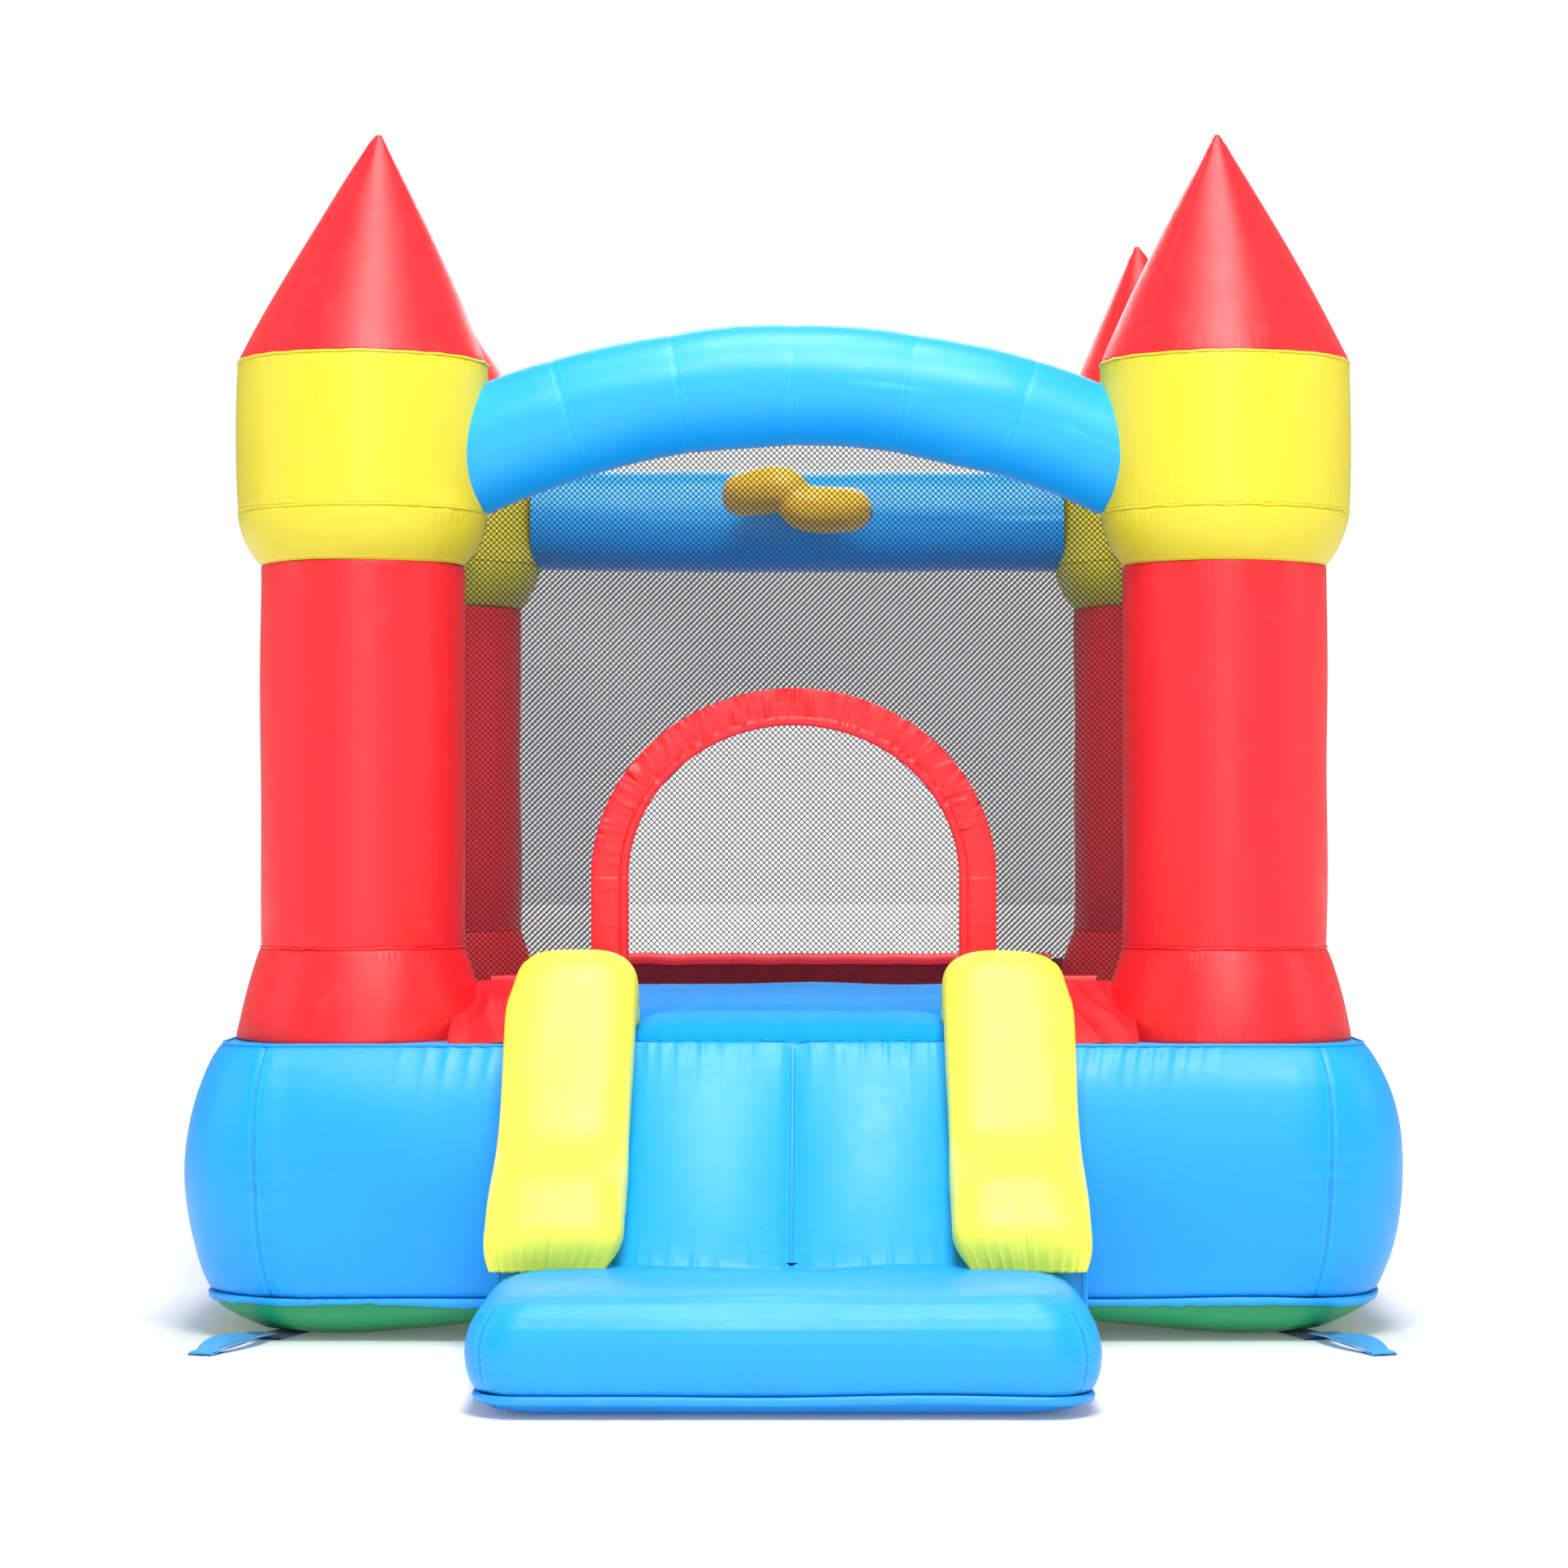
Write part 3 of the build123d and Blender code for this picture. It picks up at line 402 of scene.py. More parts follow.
def tower_panel(name, cx, cy, low, high, bulge, material, seed, tip=False, puckers=0.0011, lean=(0, 0)):
    """One panel round a tower. low and high are (radius, height)."""
    t = dense(54)
    P = bowed(low, high, bulge, t)
    angle = np.linspace(0, 2 * PI, 385)
    turn = angle / (2 * PI)
    length = math.hypot(high[0] - low[0], high[1] - low[1])
    to_low, to_high = t * length, (1 - t) * length
    near = np.minimum(to_low, 9.0 if tip else to_high)
    gathers_low = pinched(ripple(turn, 38, 74, seed, whole=True)) * (0.55
            + 0.45 * ripple(turn, 2, 7, seed + 1, whole=True))
    gathers_high = pinched(ripple(turn, 38, 74, seed + 2, whole=True)) * (0.55
            + 0.45 * ripple(turn, 2, 7, seed + 3, whole=True))
    swell = 0.0016 * blotch(np.cos(angle)[None] * 1.3, np.sin(angle)[None] * 1.3 + t[:, None] * length * 4,
                            0.9, seed + 4)
    r = P[:, :1] + swell * np.minimum(1, near / 0.03)[:, None]
    r = r + puckers * gathers_low[None] * (fade(to_low, 0.020) * (1 - fade(to_low, 0.003)))[:, None]
    if not tip:
        r = r + puckers * gathers_high[None] * (fade(to_high, 0.020) * (1 - fade(to_high, 0.003)))[:, None]
    r = r - 0.0018 * fade(near, 0.0030)[:, None]
    z = P[:, 1:] + 0.0010 * ripple(turn, 1, 4, seed + 5, whole=True)[None] * fade(near, 0.05)[:, None]
    # painted shade in the seam creases and in the valleys between the gathers at the foot
    crease = (0.7 * fade(near, 0.0016)[:, None]
              + 0.25 * unit(-gathers_low[None]) * fade(to_low, 0.018)[:, None])
    if tip:
        # two seams run up to the tip, with small gathers beside them
        for seat in (0.62, 0.12):
            d = (np.abs((turn - seat + 0.5) % 1 - 0.5) * 2 * PI)[None] * np.maximum(P[:, :1], 0.004)
            r = (r - 0.0018 * fade(d, 0.003)
                 + 0.0012 * pinched(ripple(t * 8, 3, 7, seed + 9))[:, None] * fade(d, 0.016))
            # painted shade along each seam up the cone
            crease = crease + 0.5 * fade(d, 0.0015)
        r = np.where(t[:, None] > 0.985, np.minimum(r, P[:, :1]), r)
        r[-1] = 0.0004
    leaning = unit((P[:, 1:] - low[1]) / (high[1] - low[1])) ** 1.2 if tip else 0 * P[:, 1:]
    X = cx + r * np.cos(angle)[None] + lean[0] * leaning
    Y = cy + r * np.sin(angle)[None] + lean[1] * leaning
    seam = (turn[None] * 2 * PI * COLUMN_R, near[:, None])
    return grid(name, xyz(X, Y, z), material, close_u=True, fold=crease, seam=seam)


def piping(name, cx, cy, r, z, material, seed, size=0.0022):
    """The folded edge of a seam, standing a little proud of the cloth."""
    a = np.linspace(0, 2 * PI, 240, endpoint=False)
    rr = r + 0.0008 + 0.0006 * ripple(a / (2 * PI), 20, 50, seed, whole=True)
    zz = z + 0.0008 * ripple(a / (2 * PI), 3, 30, seed + 1, whole=True)
    return tube(name, xyz(cx + rr * np.cos(a), cy + rr * np.sin(a), zz), size, material, 6, closed=True)


def towers():
    for number, (corner, (sx, sy)) in enumerate(CORNERS.items()):
        x, y, s = sx * TOWER_X, sy * TOWER_Y, 100 * number
        lean = ((0.026 if sx < 0 else -0.012) if sy < 0 else -0.045, 0.0)

        def panel(part, low, high, bulge, material, seed, **more):
            return tower_panel(f"{part}_{corner}", x, y, low, high, bulge, material, s + seed, **more)

        def pipe(part, r, z, material, seed):
            return piping(f"pipe_{part}_{corner}", x, y, r, z, material, s + seed)

        def piece(part, slot, *made):
            place(joined(f"{part}_{corner}", list(made)), f"tower_{part}_{corner}", slot=slot)

        cone = panel("cone", (BAND_R, CONE_Z), (TIP_R, TIP_Z), 0.006, RED, 1, tip=True, lean=lean)
        tip = [(x + lean[0], y, TIP_Z - below) for below in (0.006, 0.002, 0)]
        piece("cone", "red_cloth", cone, tube(f"cap_{corner}", tip, [0.0055, 0.0050, 0.0006], RED, 16))
        piece("band", "band_yellow_cloth",
              panel("band", (BAND_R, BAND_Z), (BAND_R, CONE_Z), 0.002, BAND, 11, puckers=0.0015),
              panel("collar", (COLUMN_R, COLLAR_Z), (BAND_R, BAND_Z), 0.008, BAND, 21, puckers=0.0013),
              pipe("a", BAND_R - 0.001, CONE_Z - 0.0005, BAND, 31),
              pipe("b", BAND_R - 0.0016, BAND_Z, BAND, 33))
        piece("column", "red_cloth",
              panel("column", (COLUMN_R, COLUMN_Z), (COLUMN_R, COLLAR_Z), 0, RED, 41),
              panel("skirt", (SKIRT_R, SKIRT_Z), (COLUMN_R, COLUMN_Z), 0.004, RED, 51, puckers=0.0014),
              pipe("c", COLUMN_R - 0.001, COLUMN_Z, RED, 61))


towers()


# Base


def side_loop(hx, hy, r, side, n=420, share=45):
    """Half-corner, straight, half-corner along one side, as points and outward normals in plan."""
    if side in ("left", "right"):
        hx, hy = hy, hx
    bend = max(8, n // 8)
    reach = share if side in ("front", "rear") else 90 - share
    a = np.concatenate([np.linspace(270 - reach, 270, bend), np.full(n - 2 * bend, 270.0),
                        np.linspace(270, 270 + reach, bend)])
    a = np.radians(a)
    c = np.concatenate([np.full(bend, -hx + r), np.linspace(-hx + r, hx - r, n - 2 * bend + 2)[1:-1],
                        np.full(bend, hx - r)])
    x, y = c + r * np.cos(a), -hy + r + r * np.sin(a)
    nx, ny = np.cos(a), np.sin(a)
    turn = {"front": 0, "right": 1, "rear": 2, "left": 3}[side] * PI / 2
    cs, sn = math.cos(turn), math.sin(turn)
    return x * cs - y * sn, x * sn + y * cs, nx * cs - ny * sn, nx * sn + ny * cs, c


HEM_DROP = 0.0185
# the folded hem in section, as (out, down)
WALL_HEM = ((0.002, 0.000), (0.008, 0.002), (0.0085, 0.008), (0.007, 0.016),
            (0.0055, HEM_DROP), (0.003, 0.017), (0.002, 0.006))
LANDING_DROP = 0.014
LANDING_HEM = ((0.001, 0.0), (0.006, 0.001), (0.008, 0.005), (0.0068, 0.011),
               (0.005, LANDING_DROP), (0.003, 0.013), (0.001, 0.004))
# painted shade where the hem meets the wall and on its tucked-under rows
HEM_PAINTED_SHADE = np.array([0.9, 0.1, 0, 0, 0.3, 0.6, 0.9])[:, None]
# the base in plan at some heights: height, half size in x, half size in y, corner radius
LEVELS = np.array([
    (0.075, 0.960, 0.885, 0.150),
    (0.170, 0.990, 0.912, 0.165),
    (0.280, 1.000, 0.920, 0.170),
    (0.390, 0.985, 0.906, 0.150),
    (0.480, 0.940, 0.862, 0.110),
])


def level(z):
    return [float(np.polyval(np.polyfit(LEVELS[:, 0] * 10, LEVELS[:, k], 4), z * 10)) for k in (1, 2, 3)]


def sag(x, side):
    """How far the belly of the base lifts off the ground, in front of the corners and beside the slide."""
    lift = 0.020 * unit((np.abs(x) - 0.80) / 0.2) ** 1.5
    if side == "front":
        lift = lift + 0.030 * (1 - unit((np.abs(x) - 0.42) / 0.30)) ** 1.3
    return lift


def base_walls():
    rows = SEAM_Z + dense(64, BASE_TOP - SEAM_Z)
    for number, side in enumerate(("front", "right", "rear", "left")):
        P = []
        for z in rows:
            hx, hy, r = level(z)
            x, y, nx, ny, _ = side_loop(hx, hy, r, side, share=12)
            P.append(np.stack([x, y, np.full_like(x, z), nx, ny], axis=-1))
        P = np.array(P)
        u = arc_lengths(P[..., :3], 1)
        away = np.minimum(u, u[:, -1:] - u)
        h = (rows - SEAM_Z)[:, None]
        from_top, from_low = (BASE_TOP - rows)[:, None], h
        belly = bell(rows - 0.275, 0.115)[:, None]
        left = pinched(ripple(rows * 10, 7, 14, 300 + number))[:, None]
        right = pinched(ripple(rows * 10, 7, 14, 300 + (number + 1) % 4))[:, None]
        ridge = (np.where(u < u[:, -1:] / 2, left, right)
                 + 0.25 * blotch(u * 14, h * 60, 1.0, 320 + number) * unit(away / 0.01))
        push = 0.0050 * belly * ridge * fade(away, 0.024) * (1 - 0.6 * fade(away, 0.004))
        push = (push - 0.0022 * fade(away, 0.003) - 0.0045 * fade(from_low, 0.004)
                - 0.0035 * fade(from_top, 0.004))
        gather = gathers(u, 11, 26, 330 + number, 0.6, 2.2, 340 + number)
        corner = unit(away / 0.05)
        push = push + 0.0034 * corner * gather * fade(from_top, 0.032) * (1 - fade(from_top, 0.004))
        gather_low = gathers(u, 8, 22, 350 + number, 0.6, 2.2, 360 + number)
        push = push + 0.0016 * corner * gather_low * fade(from_low, 0.03)
        push = (push + 0.0035 * corner * blotch(u * 3, h * 5, 0.8, 370 + number)
                * np.minimum(1, np.minimum(from_top, from_low) / 0.05))
        wall_points = P[..., :3] + push[..., None] * np.stack([P[..., 3], P[..., 4], 0 * P[..., 3]], axis=-1)
        wave = 0.0022 * ripple(u, 0.8, 3.0, 380 + number) * corner
        wall_points[..., 2] += wave * (fade(from_low, 0.03) * 0.8)
        # painted shade along the corner, top and bottom seams and in the valleys of the ridges and gathers
        fold = 0.45 * fade(away, 0.0012) + 0.9 * fade(from_low, 0.003) + 0.8 * fade(from_top, 0.003)
        fold = (fold + 0.45 * unit(-ridge) * belly * fade(away, 0.02)
                + 0.2 * unit(-gather) * fade(from_top, 0.02))
        seam = (np.broadcast_to(rows[:, None], u.shape), away)
        wall = grid(f"wall_{side}", wall_points, BLUE, fold=fold, seam=seam)
        lip = wall_points[-1] + np.array([0, 0, 0.001])
        edge = tube(f"wall_lip_{side}", lip[::3], 0.0028, BLUE, 6)
        hem = []
        low = wall_points[0]
        out = np.stack([P[0, :, 3], P[0, :, 4], 0 * P[0, :, 3]], axis=-1)
        point = 0.008 * fade(away[0], 0.03)
        drop = (0.013 + (0.003 * ripple(u[0], 1, 4, 390 + number)
                         + 0.0008 * ripple(u[0], 12, 30, 395 + number)) * corner[0])
        for o, d in WALL_HEM:
            slope = d / HEM_DROP
            hem.append(low + out * (o + point * (1 - slope) * 0.9
                                    + 0.0012 * ripple(u[0], 6, 20, 400 + number) * slope)[:, None]
                       + np.stack([0 * drop, 0 * drop, -drop * slope], axis=-1))
        hem = np.array(hem)
        flap = grid(f"wall_hem_{side}", hem, BLUE, fold=HEM_PAINTED_SHADE,
                    seam=(u[0][None], np.array([0, 0.002, 0.0068, 0.012, 0.02, 0.02, 0.02])[:, None]),
                    flip=True)
        place(joined(f"base_{side}", [wall, edge, flap]), f"base_wall_{side}", slot="blue_cloth")


base_walls()


def base_top():
    """The flat border that the towers and the floor are sewn to."""
    hx, hy, r = level(BASE_TOP)
    rings = []
    for inset in (0.0, 0.002, 0.01, 0.03, 0.06, 0.10, 0.14, 0.18, 0.22, 0.24):
        ring = []
        for side in ("front", "right", "rear", "left"):
            x, y, *_ = side_loop(hx - inset, hy - inset, max(0.02, r - inset), side, 200)
            ring.append(np.stack([x, y], axis=-1)[:-1])
        ring = np.concatenate(ring + [ring[0][:1]])
        z = (BASE_TOP + 0.0012 - 0.003 * fade(inset, 0.003)
             + 0.0016 * blotch(ring[:, 0] * 4, ring[:, 1] * 4, 0.6, 500) * min(1, inset / 0.05))
        rings.append(np.column_stack([ring, z]))
    top = grid("base_top", np.array(rings), BLUE, close_u=True)
    place(top, "base_top_border", slot="blue_cloth")


base_top()


def base_under():
    """The green belly, from the hem in to the ground."""
    steps = [(0.002, SEAM_Z - 0.002), (0.006, 0.060), (0.016, 0.046), (0.040, 0.028), (0.075, 0.013),
             (0.12, 0.004), (0.19, 0.0005), (0.45, 0.0008), (0.80, 0.001)]
    rings = []
    for inset, z in steps:
        ring = []
        for side in ("front", "right", "rear", "left"):
            x, y, *_, c = side_loop(0.960 - inset, 0.885 - inset, max(0.03, 0.150 - inset * 0.5), side, 240)
            lift = sag(x if side in ("front", "rear") else 0 * x + 0.9 * (np.abs(c) > 0.7), side)
            share = unit(1 - z / 0.07) * (1 if inset < 0.3 else 0.3)
            ring.append(xyz(x, y, z + lift * share)[:-1])
        ring = np.concatenate(ring + [ring[0][:1]])
        rings.append(ring)
    P = np.array(rings)
    P[..., 2] += 0.0012 * blotch(P[..., 0] * 6, P[..., 1] * 6, 0.6, 520) * (P[..., 2] > 0.008)
    P[..., 2] = np.maximum(P[..., 2], 0.0004)
    # painted shade on the belly just inside the hem
    fold = np.array([1.0, 0.5, 0.1, 0, 0, 0, 0, 0, 0])[:, None]
    place(grid("belly", P, GREEN, close_u=True, fold=fold, flip=True), "base_underside", slot="green_cloth")


base_under()


def floor():
    """The bounce floor: crowned channels that run from side to side."""
    x, y = np.linspace(-FLOOR_X, FLOOR_X, 300), np.linspace(-FLOOR_Y, FLOOR_Y, 321)
    X, Y = np.meshgrid(x, y)
    pitch = 2 * FLOOR_Y / 5
    s = ((Y + FLOOR_Y) / pitch) % 1
    s = np.where(Y >= FLOOR_Y, 1.0, s)
    crown = np.sqrt(unit(1 - (2 * s - 1) ** 2)) * 0.55 + 4 * s * (1 - s) * 0.45
    near = np.minimum(s, 1 - s) * pitch
    ends = unit((FLOOR_X - np.abs(X)) / 0.06) ** 0.5
    Z = FLOOR_VALLEY + (FLOOR_CROWN - FLOOR_VALLEY) * crown * ends
    Z = (Z + 0.0022 * pinched(ripple(X, 7, 16, 540)) * fade(near, 0.025)
         + 0.002 * blotch(X * 4, Y * 4, 0.7, 541))
    P = xyz(X, Y, Z)
    seam = (X, near)
    # the fold values are painted shade in the seams between the channels
    place(grid("floor", P, FLOOR_BLUE, fold=0.85 * fade(near, 0.003), seam=seam), "bounce_floor",
          slot="blue_cloth")


floor()


# Beams


def sweep(name, path, radius, material, seed, gores=(), sides=120, puckers=0.0016):
    """An inflated tube along a path in which rings of stitching pull it in."""
    path = np.asarray(path, float)
    side, up = square_to(np.gradient(path, axis=0))
    along = run(path)
    a = np.linspace(0, 2 * PI, sides + 1)
    r = radius * np.ones((len(path), sides + 1))
    fold = 0 * r
    turn = a / (2 * PI)
    for k, g in enumerate(gores):
        d = np.abs(along - g)[:, None]
        g1 = pinched(ripple(turn, 24, 46, seed + k, whole=True))[None] * (0.6
                + 0.4 * ripple(turn, 1, 5, seed + 50 + k, whole=True))[None]
        r = (r - 0.0016 * fade(d, 0.03) - 0.0007 * fade(d, 0.003)
             + puckers * g1 * fade(d, 0.022) * (1 - fade(d, 0.004)))
        # painted shade along each gore seam
        fold = fold + 0.10 * fade(d, 0.002)
    r = r + 0.0016 * blotch(along[:, None] * 5, a[None] * 0.6, 0.8, seed + 90)
    P = (path[:, None] + r[..., None]
         * (side[:, None] * np.cos(a)[None, :, None] + up[:, None] * np.sin(a)[None, :, None]))
    nearest = np.min([np.abs(along - g) for g in gores], axis=0) if len(gores) else along * 0 + 9
    return grid(name, P, material, close_u=True, fold=fold, seam=(a[None] * radius, nearest[:, None]))


def beams():
    half = math.asin(ARCH_END_X / ARCH_BEND) + math.radians(3.0)
    a = np.linspace(-half, half, 260)
    path = xyz(ARCH_BEND * np.sin(a), -TOWER_Y, ARCH_TOP_Z - ARCH_BEND * (1 - np.cos(a)))
    total = 2 * half * ARCH_BEND
    cuts = [total * (0.5 + k * 0.155) for k in (-2, -1, 0, 1, 2)]
    arch = sweep("front_arch", path, ARCH_R, BLUE, 600, gores=cuts, puckers=0.0006)
    place(arch, "front_arch_beam", slot="blue_cloth")
    t = np.linspace(-1, 1, 120)
    x, y = TOWER_X - BAND_R + 0.012, TOWER_Y - BAND_R + 0.012
    rear_z = BEAM_Z - 0.004 * (1 - t * t)
    for name, points, seed in (("rear", (t * x, TOWER_Y, rear_z), 620),
                               ("left", (-TOWER_X, t * y, BEAM_Z), 640),
                               ("right", (TOWER_X, t * y, BEAM_Z), 660)):
        beam = sweep(f"{name}_tube", xyz(*points), BEAM_R, BLUE, seed)
        place(beam, f"{name}_beam", slot="blue_cloth")


beams()


# Netting


def netting(name, inside, to_world, box, node, pitch=0.0075, thick=0.00098):
    """Crossing cords at 45 degrees wherever inside(a, b) holds. to_world maps (a, b, lift) to points."""
    (a0, b0), (a1, b1) = box
    verts, faces, seen = [], [], []
    step, keep = 0.004, 10
    q = math.sqrt(0.5)
    reach = (abs(a1 - a0) + abs(b1 - b0)) * q
    for family in (1, -1):
        low = min(a * q - family * b * q for a in (a0, a1) for b in (b0, b1))
        high = max(a * q - family * b * q for a in (a0, a1) for b in (b0, b1))
        for c in np.arange(low + pitch * 0.3, high, pitch):
            # points on the line a - family * b = c / q
            s = np.arange(-reach, reach, step)
            am, bm = (a0 + a1) / 2, (b0 + b1) / 2
            off = c - (am * q - family * bm * q)
            a = am + off * q + s * q
            b = bm - family * off * q + family * s * q
            ok = inside(a, b) & (a >= a0) & (a <= a1) & (b >= b0) & (b <= b1)
            edges = np.flatnonzero(np.diff(np.concatenate([[0], ok.astype(int), [0]])))
            for i, j in zip(edges[::2], edges[1::2]):
                if j - i < 3:
                    continue
                pick = np.unique(np.append(np.arange(i, j, keep), j - 1))
                aa, bb = a[pick], b[pick]
                lift = family * thick * 0.8 * np.ones_like(aa)
                centre = to_world(aa, bb, lift)
                across = to_world(aa + 1e-3 * q, bb - family * 1e-3 * q, lift) - centre
                across /= np.linalg.norm(across, axis=1)[:, None]
                out = to_world(aa, bb, lift + 1e-3) - centre
                out /= np.linalg.norm(out, axis=1)[:, None]
                start = sum(len(v) for v in verts)
                seen += [(aa.min(), bb.min()), (aa.max(), bb.max())]
                ring = [centre + thick * (across * math.cos(w) + out * math.sin(w))
                        for w in (PI / 2, PI * 7 / 6, PI * 11 / 6)]
                verts.append(np.stack(ring, axis=1).reshape(-1, 3))
                faces.append((start, len(pick)))
    V = np.concatenate(verts)
    quads, tris = [], []
    for start, count in faces:
        k = np.arange(count - 1)[:, None] * 3 + start
        for w in range(3):
            x = (w + 1) % 3
            quads.append(np.hstack([k + w, k + x, k + 3 + x, k + 3 + w]))
        tris += [(start + 2, start + 1, start),
                 (start + count * 3 - 3, start + count * 3 - 2, start + count * 3 - 1)]
    mesh = bpy.data.meshes.new(name)
    mesh.from_pydata(V.tolist(), [], [tuple(f) for f in np.concatenate(quads).tolist()] + tris)
    mesh.materials.append(NET)
    o = bpy.data.objects.new(name, mesh)
    bpy.context.collection.objects.link(o)
    place(o, node, slot="netting")
    return o


def tower_gap(a, b, half):
    """Whether a point of a net is clear of the towers at its two ends."""
    d = half - np.abs(a)
    r = np.where(b < COLUMN_Z, np.interp(b, [SKIRT_Z, COLUMN_Z], [SKIRT_R, COLUMN_R]),
                 np.where(b < COLLAR_Z, COLUMN_R,
                          np.interp(b, [COLLAR_Z, BAND_Z], [COLUMN_R, BAND_R + 0.004])))
    return d > r - 0.001


def nets():
    def in_front(a, b):
        under = np.hypot(a, b - (ARCH_TOP_Z - ARCH_BEND)) < ARCH_BEND - ARCH_R + 0.004
        door = (np.abs(a) < DOOR_X - 0.012) & (b < DOOR_SPRING_Z)
        door |= (a / (DOOR_X - 0.012)) ** 2 + ((b - DOOR_SPRING_Z)
                                               / (DOOR_TOP_Z - DOOR_SPRING_Z - 0.012)) ** 2 < 1
        return tower_gap(a, b, TOWER_X) & under & ~door

    def front(a, b, lift):
        wave = 0.0014 * blotch(a * 5, b * 5, 0.9, 700) * unit((TOWER_X - COLUMN_R - np.abs(a)) / 0.1)
        return xyz(a, -TOWER_Y + wave - lift, b)

    netting("net_front", in_front, front, ((-0.56, NET_FOOT), (0.56, 1.49)), "front_net", 0.00685, 0.00089)

    def in_rear(a, b):
        return tower_gap(a, b, TOWER_X) & (b < BEAM_Z - BEAM_R + 0.004)

    def rear(a, b, lift):
        wave = 0.0020 * blotch(a * 4, b * 4, 1.0, 710) * unit((TOWER_X - COLUMN_R - np.abs(a)) / 0.1)
        return xyz(a, TOWER_Y + wave + lift, b)

    netting("net_rear", in_rear, rear, ((-0.56, NET_FOOT), (0.56, 1.36)), "rear_net", 0.00815, 0.00104)

    def in_side(a, b):
        return tower_gap(a, b, TOWER_Y) & (b < BEAM_Z - BEAM_R + 0.004)

    for sx, node in ((-1, "left_net"), (1, "right_net")):
        def beside(a, b, lift, sx=sx):
            wave = 0.0016 * blotch(a * 4, b * 4, 1.0, 720 + sx) * unit((TOWER_Y - COLUMN_R - np.abs(a)) / 0.1)
            return xyz(sx * (TOWER_X + wave + lift), a, b)

        netting("net_" + node.split("_")[0], in_side, beside, ((-0.47, NET_FOOT), (0.47, 1.36)), node)


nets()


# Aprons and the doorway


def apron(name, node, cx, cy, turn, spans, seed, tower):
    """Loose red cloth from the foot of the net out to the edge of the base, with a bright top hem. The cloth has
    a painted glow, as of light coming through it.
    """
    made = []
    for k, (x0, x1) in enumerate(spans):
        x, t = np.linspace(x0, x1, max(60, int((x1 - x0) / 0.0035))), np.linspace(0, 1, 44)
        X, T = np.meshgrid(x, t)
        ends = np.minimum(X - x0, x1 - X)
        out = 0.0035 + 0.212 * T ** 1.2
        z = APRON_TOP - (APRON_TOP - 0.484) * T
        drag = 0.0055 * pinched(ripple(X + 0.05 * T, 6, 15, seed + k)) * (0.35
                + np.sin(PI * T)) * unit(ends / 0.02)
        drag = drag + 0.004 * blotch(X * 12, T * 2, 0.6, seed + 10 + k) * np.sin(PI * T)
        z = np.maximum(z + drag, BASE_TOP + 0.0035)
        hem = bell(T - 0.06, 0.035)
        z = z + 0.0018 * hem
        # the ends by a tower follow its flared skirt
        r = COLUMN_R + (SKIRT_R - COLUMN_R) * unit((COLUMN_Z - z) / (COLUMN_Z - SKIRT_Z))
        free = tower - np.sqrt(np.maximum(r ** 2 - out ** 2, 0)) - 0.004
        share = unit((np.abs(X) - 0.342) / (max(abs(x0), abs(x1)) - 0.342))
        X = X + np.sign(X) * share ** 2 * np.clip(free - max(abs(x0), abs(x1)), 0, 0.055)
        c, s = math.cos(turn), math.sin(turn)
        P = xyz(cx + X * c - out * s, cy + X * s + out * c, z)
        # painted shade along the hem line and in the valleys where the cloth drags
        fold = 0.4 * fade(T - 0.115, 0.010) + 0.25 * unit(-drag / 0.006)
        made.append(grid(f"{name}_{k}", P, APRON_PAINTED_GLOW, fold=fold, seam=(X, np.abs(T - 0.115) * 0.24 + 0.002)))
        tape = []
        for o2, rise in ((0.004, 0.004), (0.0045, 0.013), (0.001, 0.0155), (-0.0035, 0.013), (-0.0045, 0.0),
                         (-0.0035, -0.007)):
            rise = APRON_TOP - 0.006 + rise + 0.001 * ripple(x, 4, 12, seed + 30 + k)
            tape.append(xyz(cx + x * c - o2 * s, cy + x * s + o2 * c, rise))
        made.append(grid(f"{name}_tape_{k}", np.array(tape), RED))
    o = place(joined(name, made), node, slot="red_cloth")
    return o


def aprons():
    side = TOWER_Y - SKIRT_R - 0.006
    apron("apron_rear", "rear_apron", 0, TOWER_Y, 0, [(-0.505, 0.505)], 800, TOWER_X)
    apron("apron_left", "left_apron", -TOWER_X, 0, PI / 2, [(-side, side)], 820, TOWER_Y)
    apron("apron_right", "right_apron", TOWER_X, 0, -PI / 2, [(-side, side)], 840, TOWER_Y)
    apron("apron_front", "front_apron", 0, -TOWER_Y, PI, [(-0.507, -0.342), (0.342, 0.507)], 860, TOWER_X)


aprons()


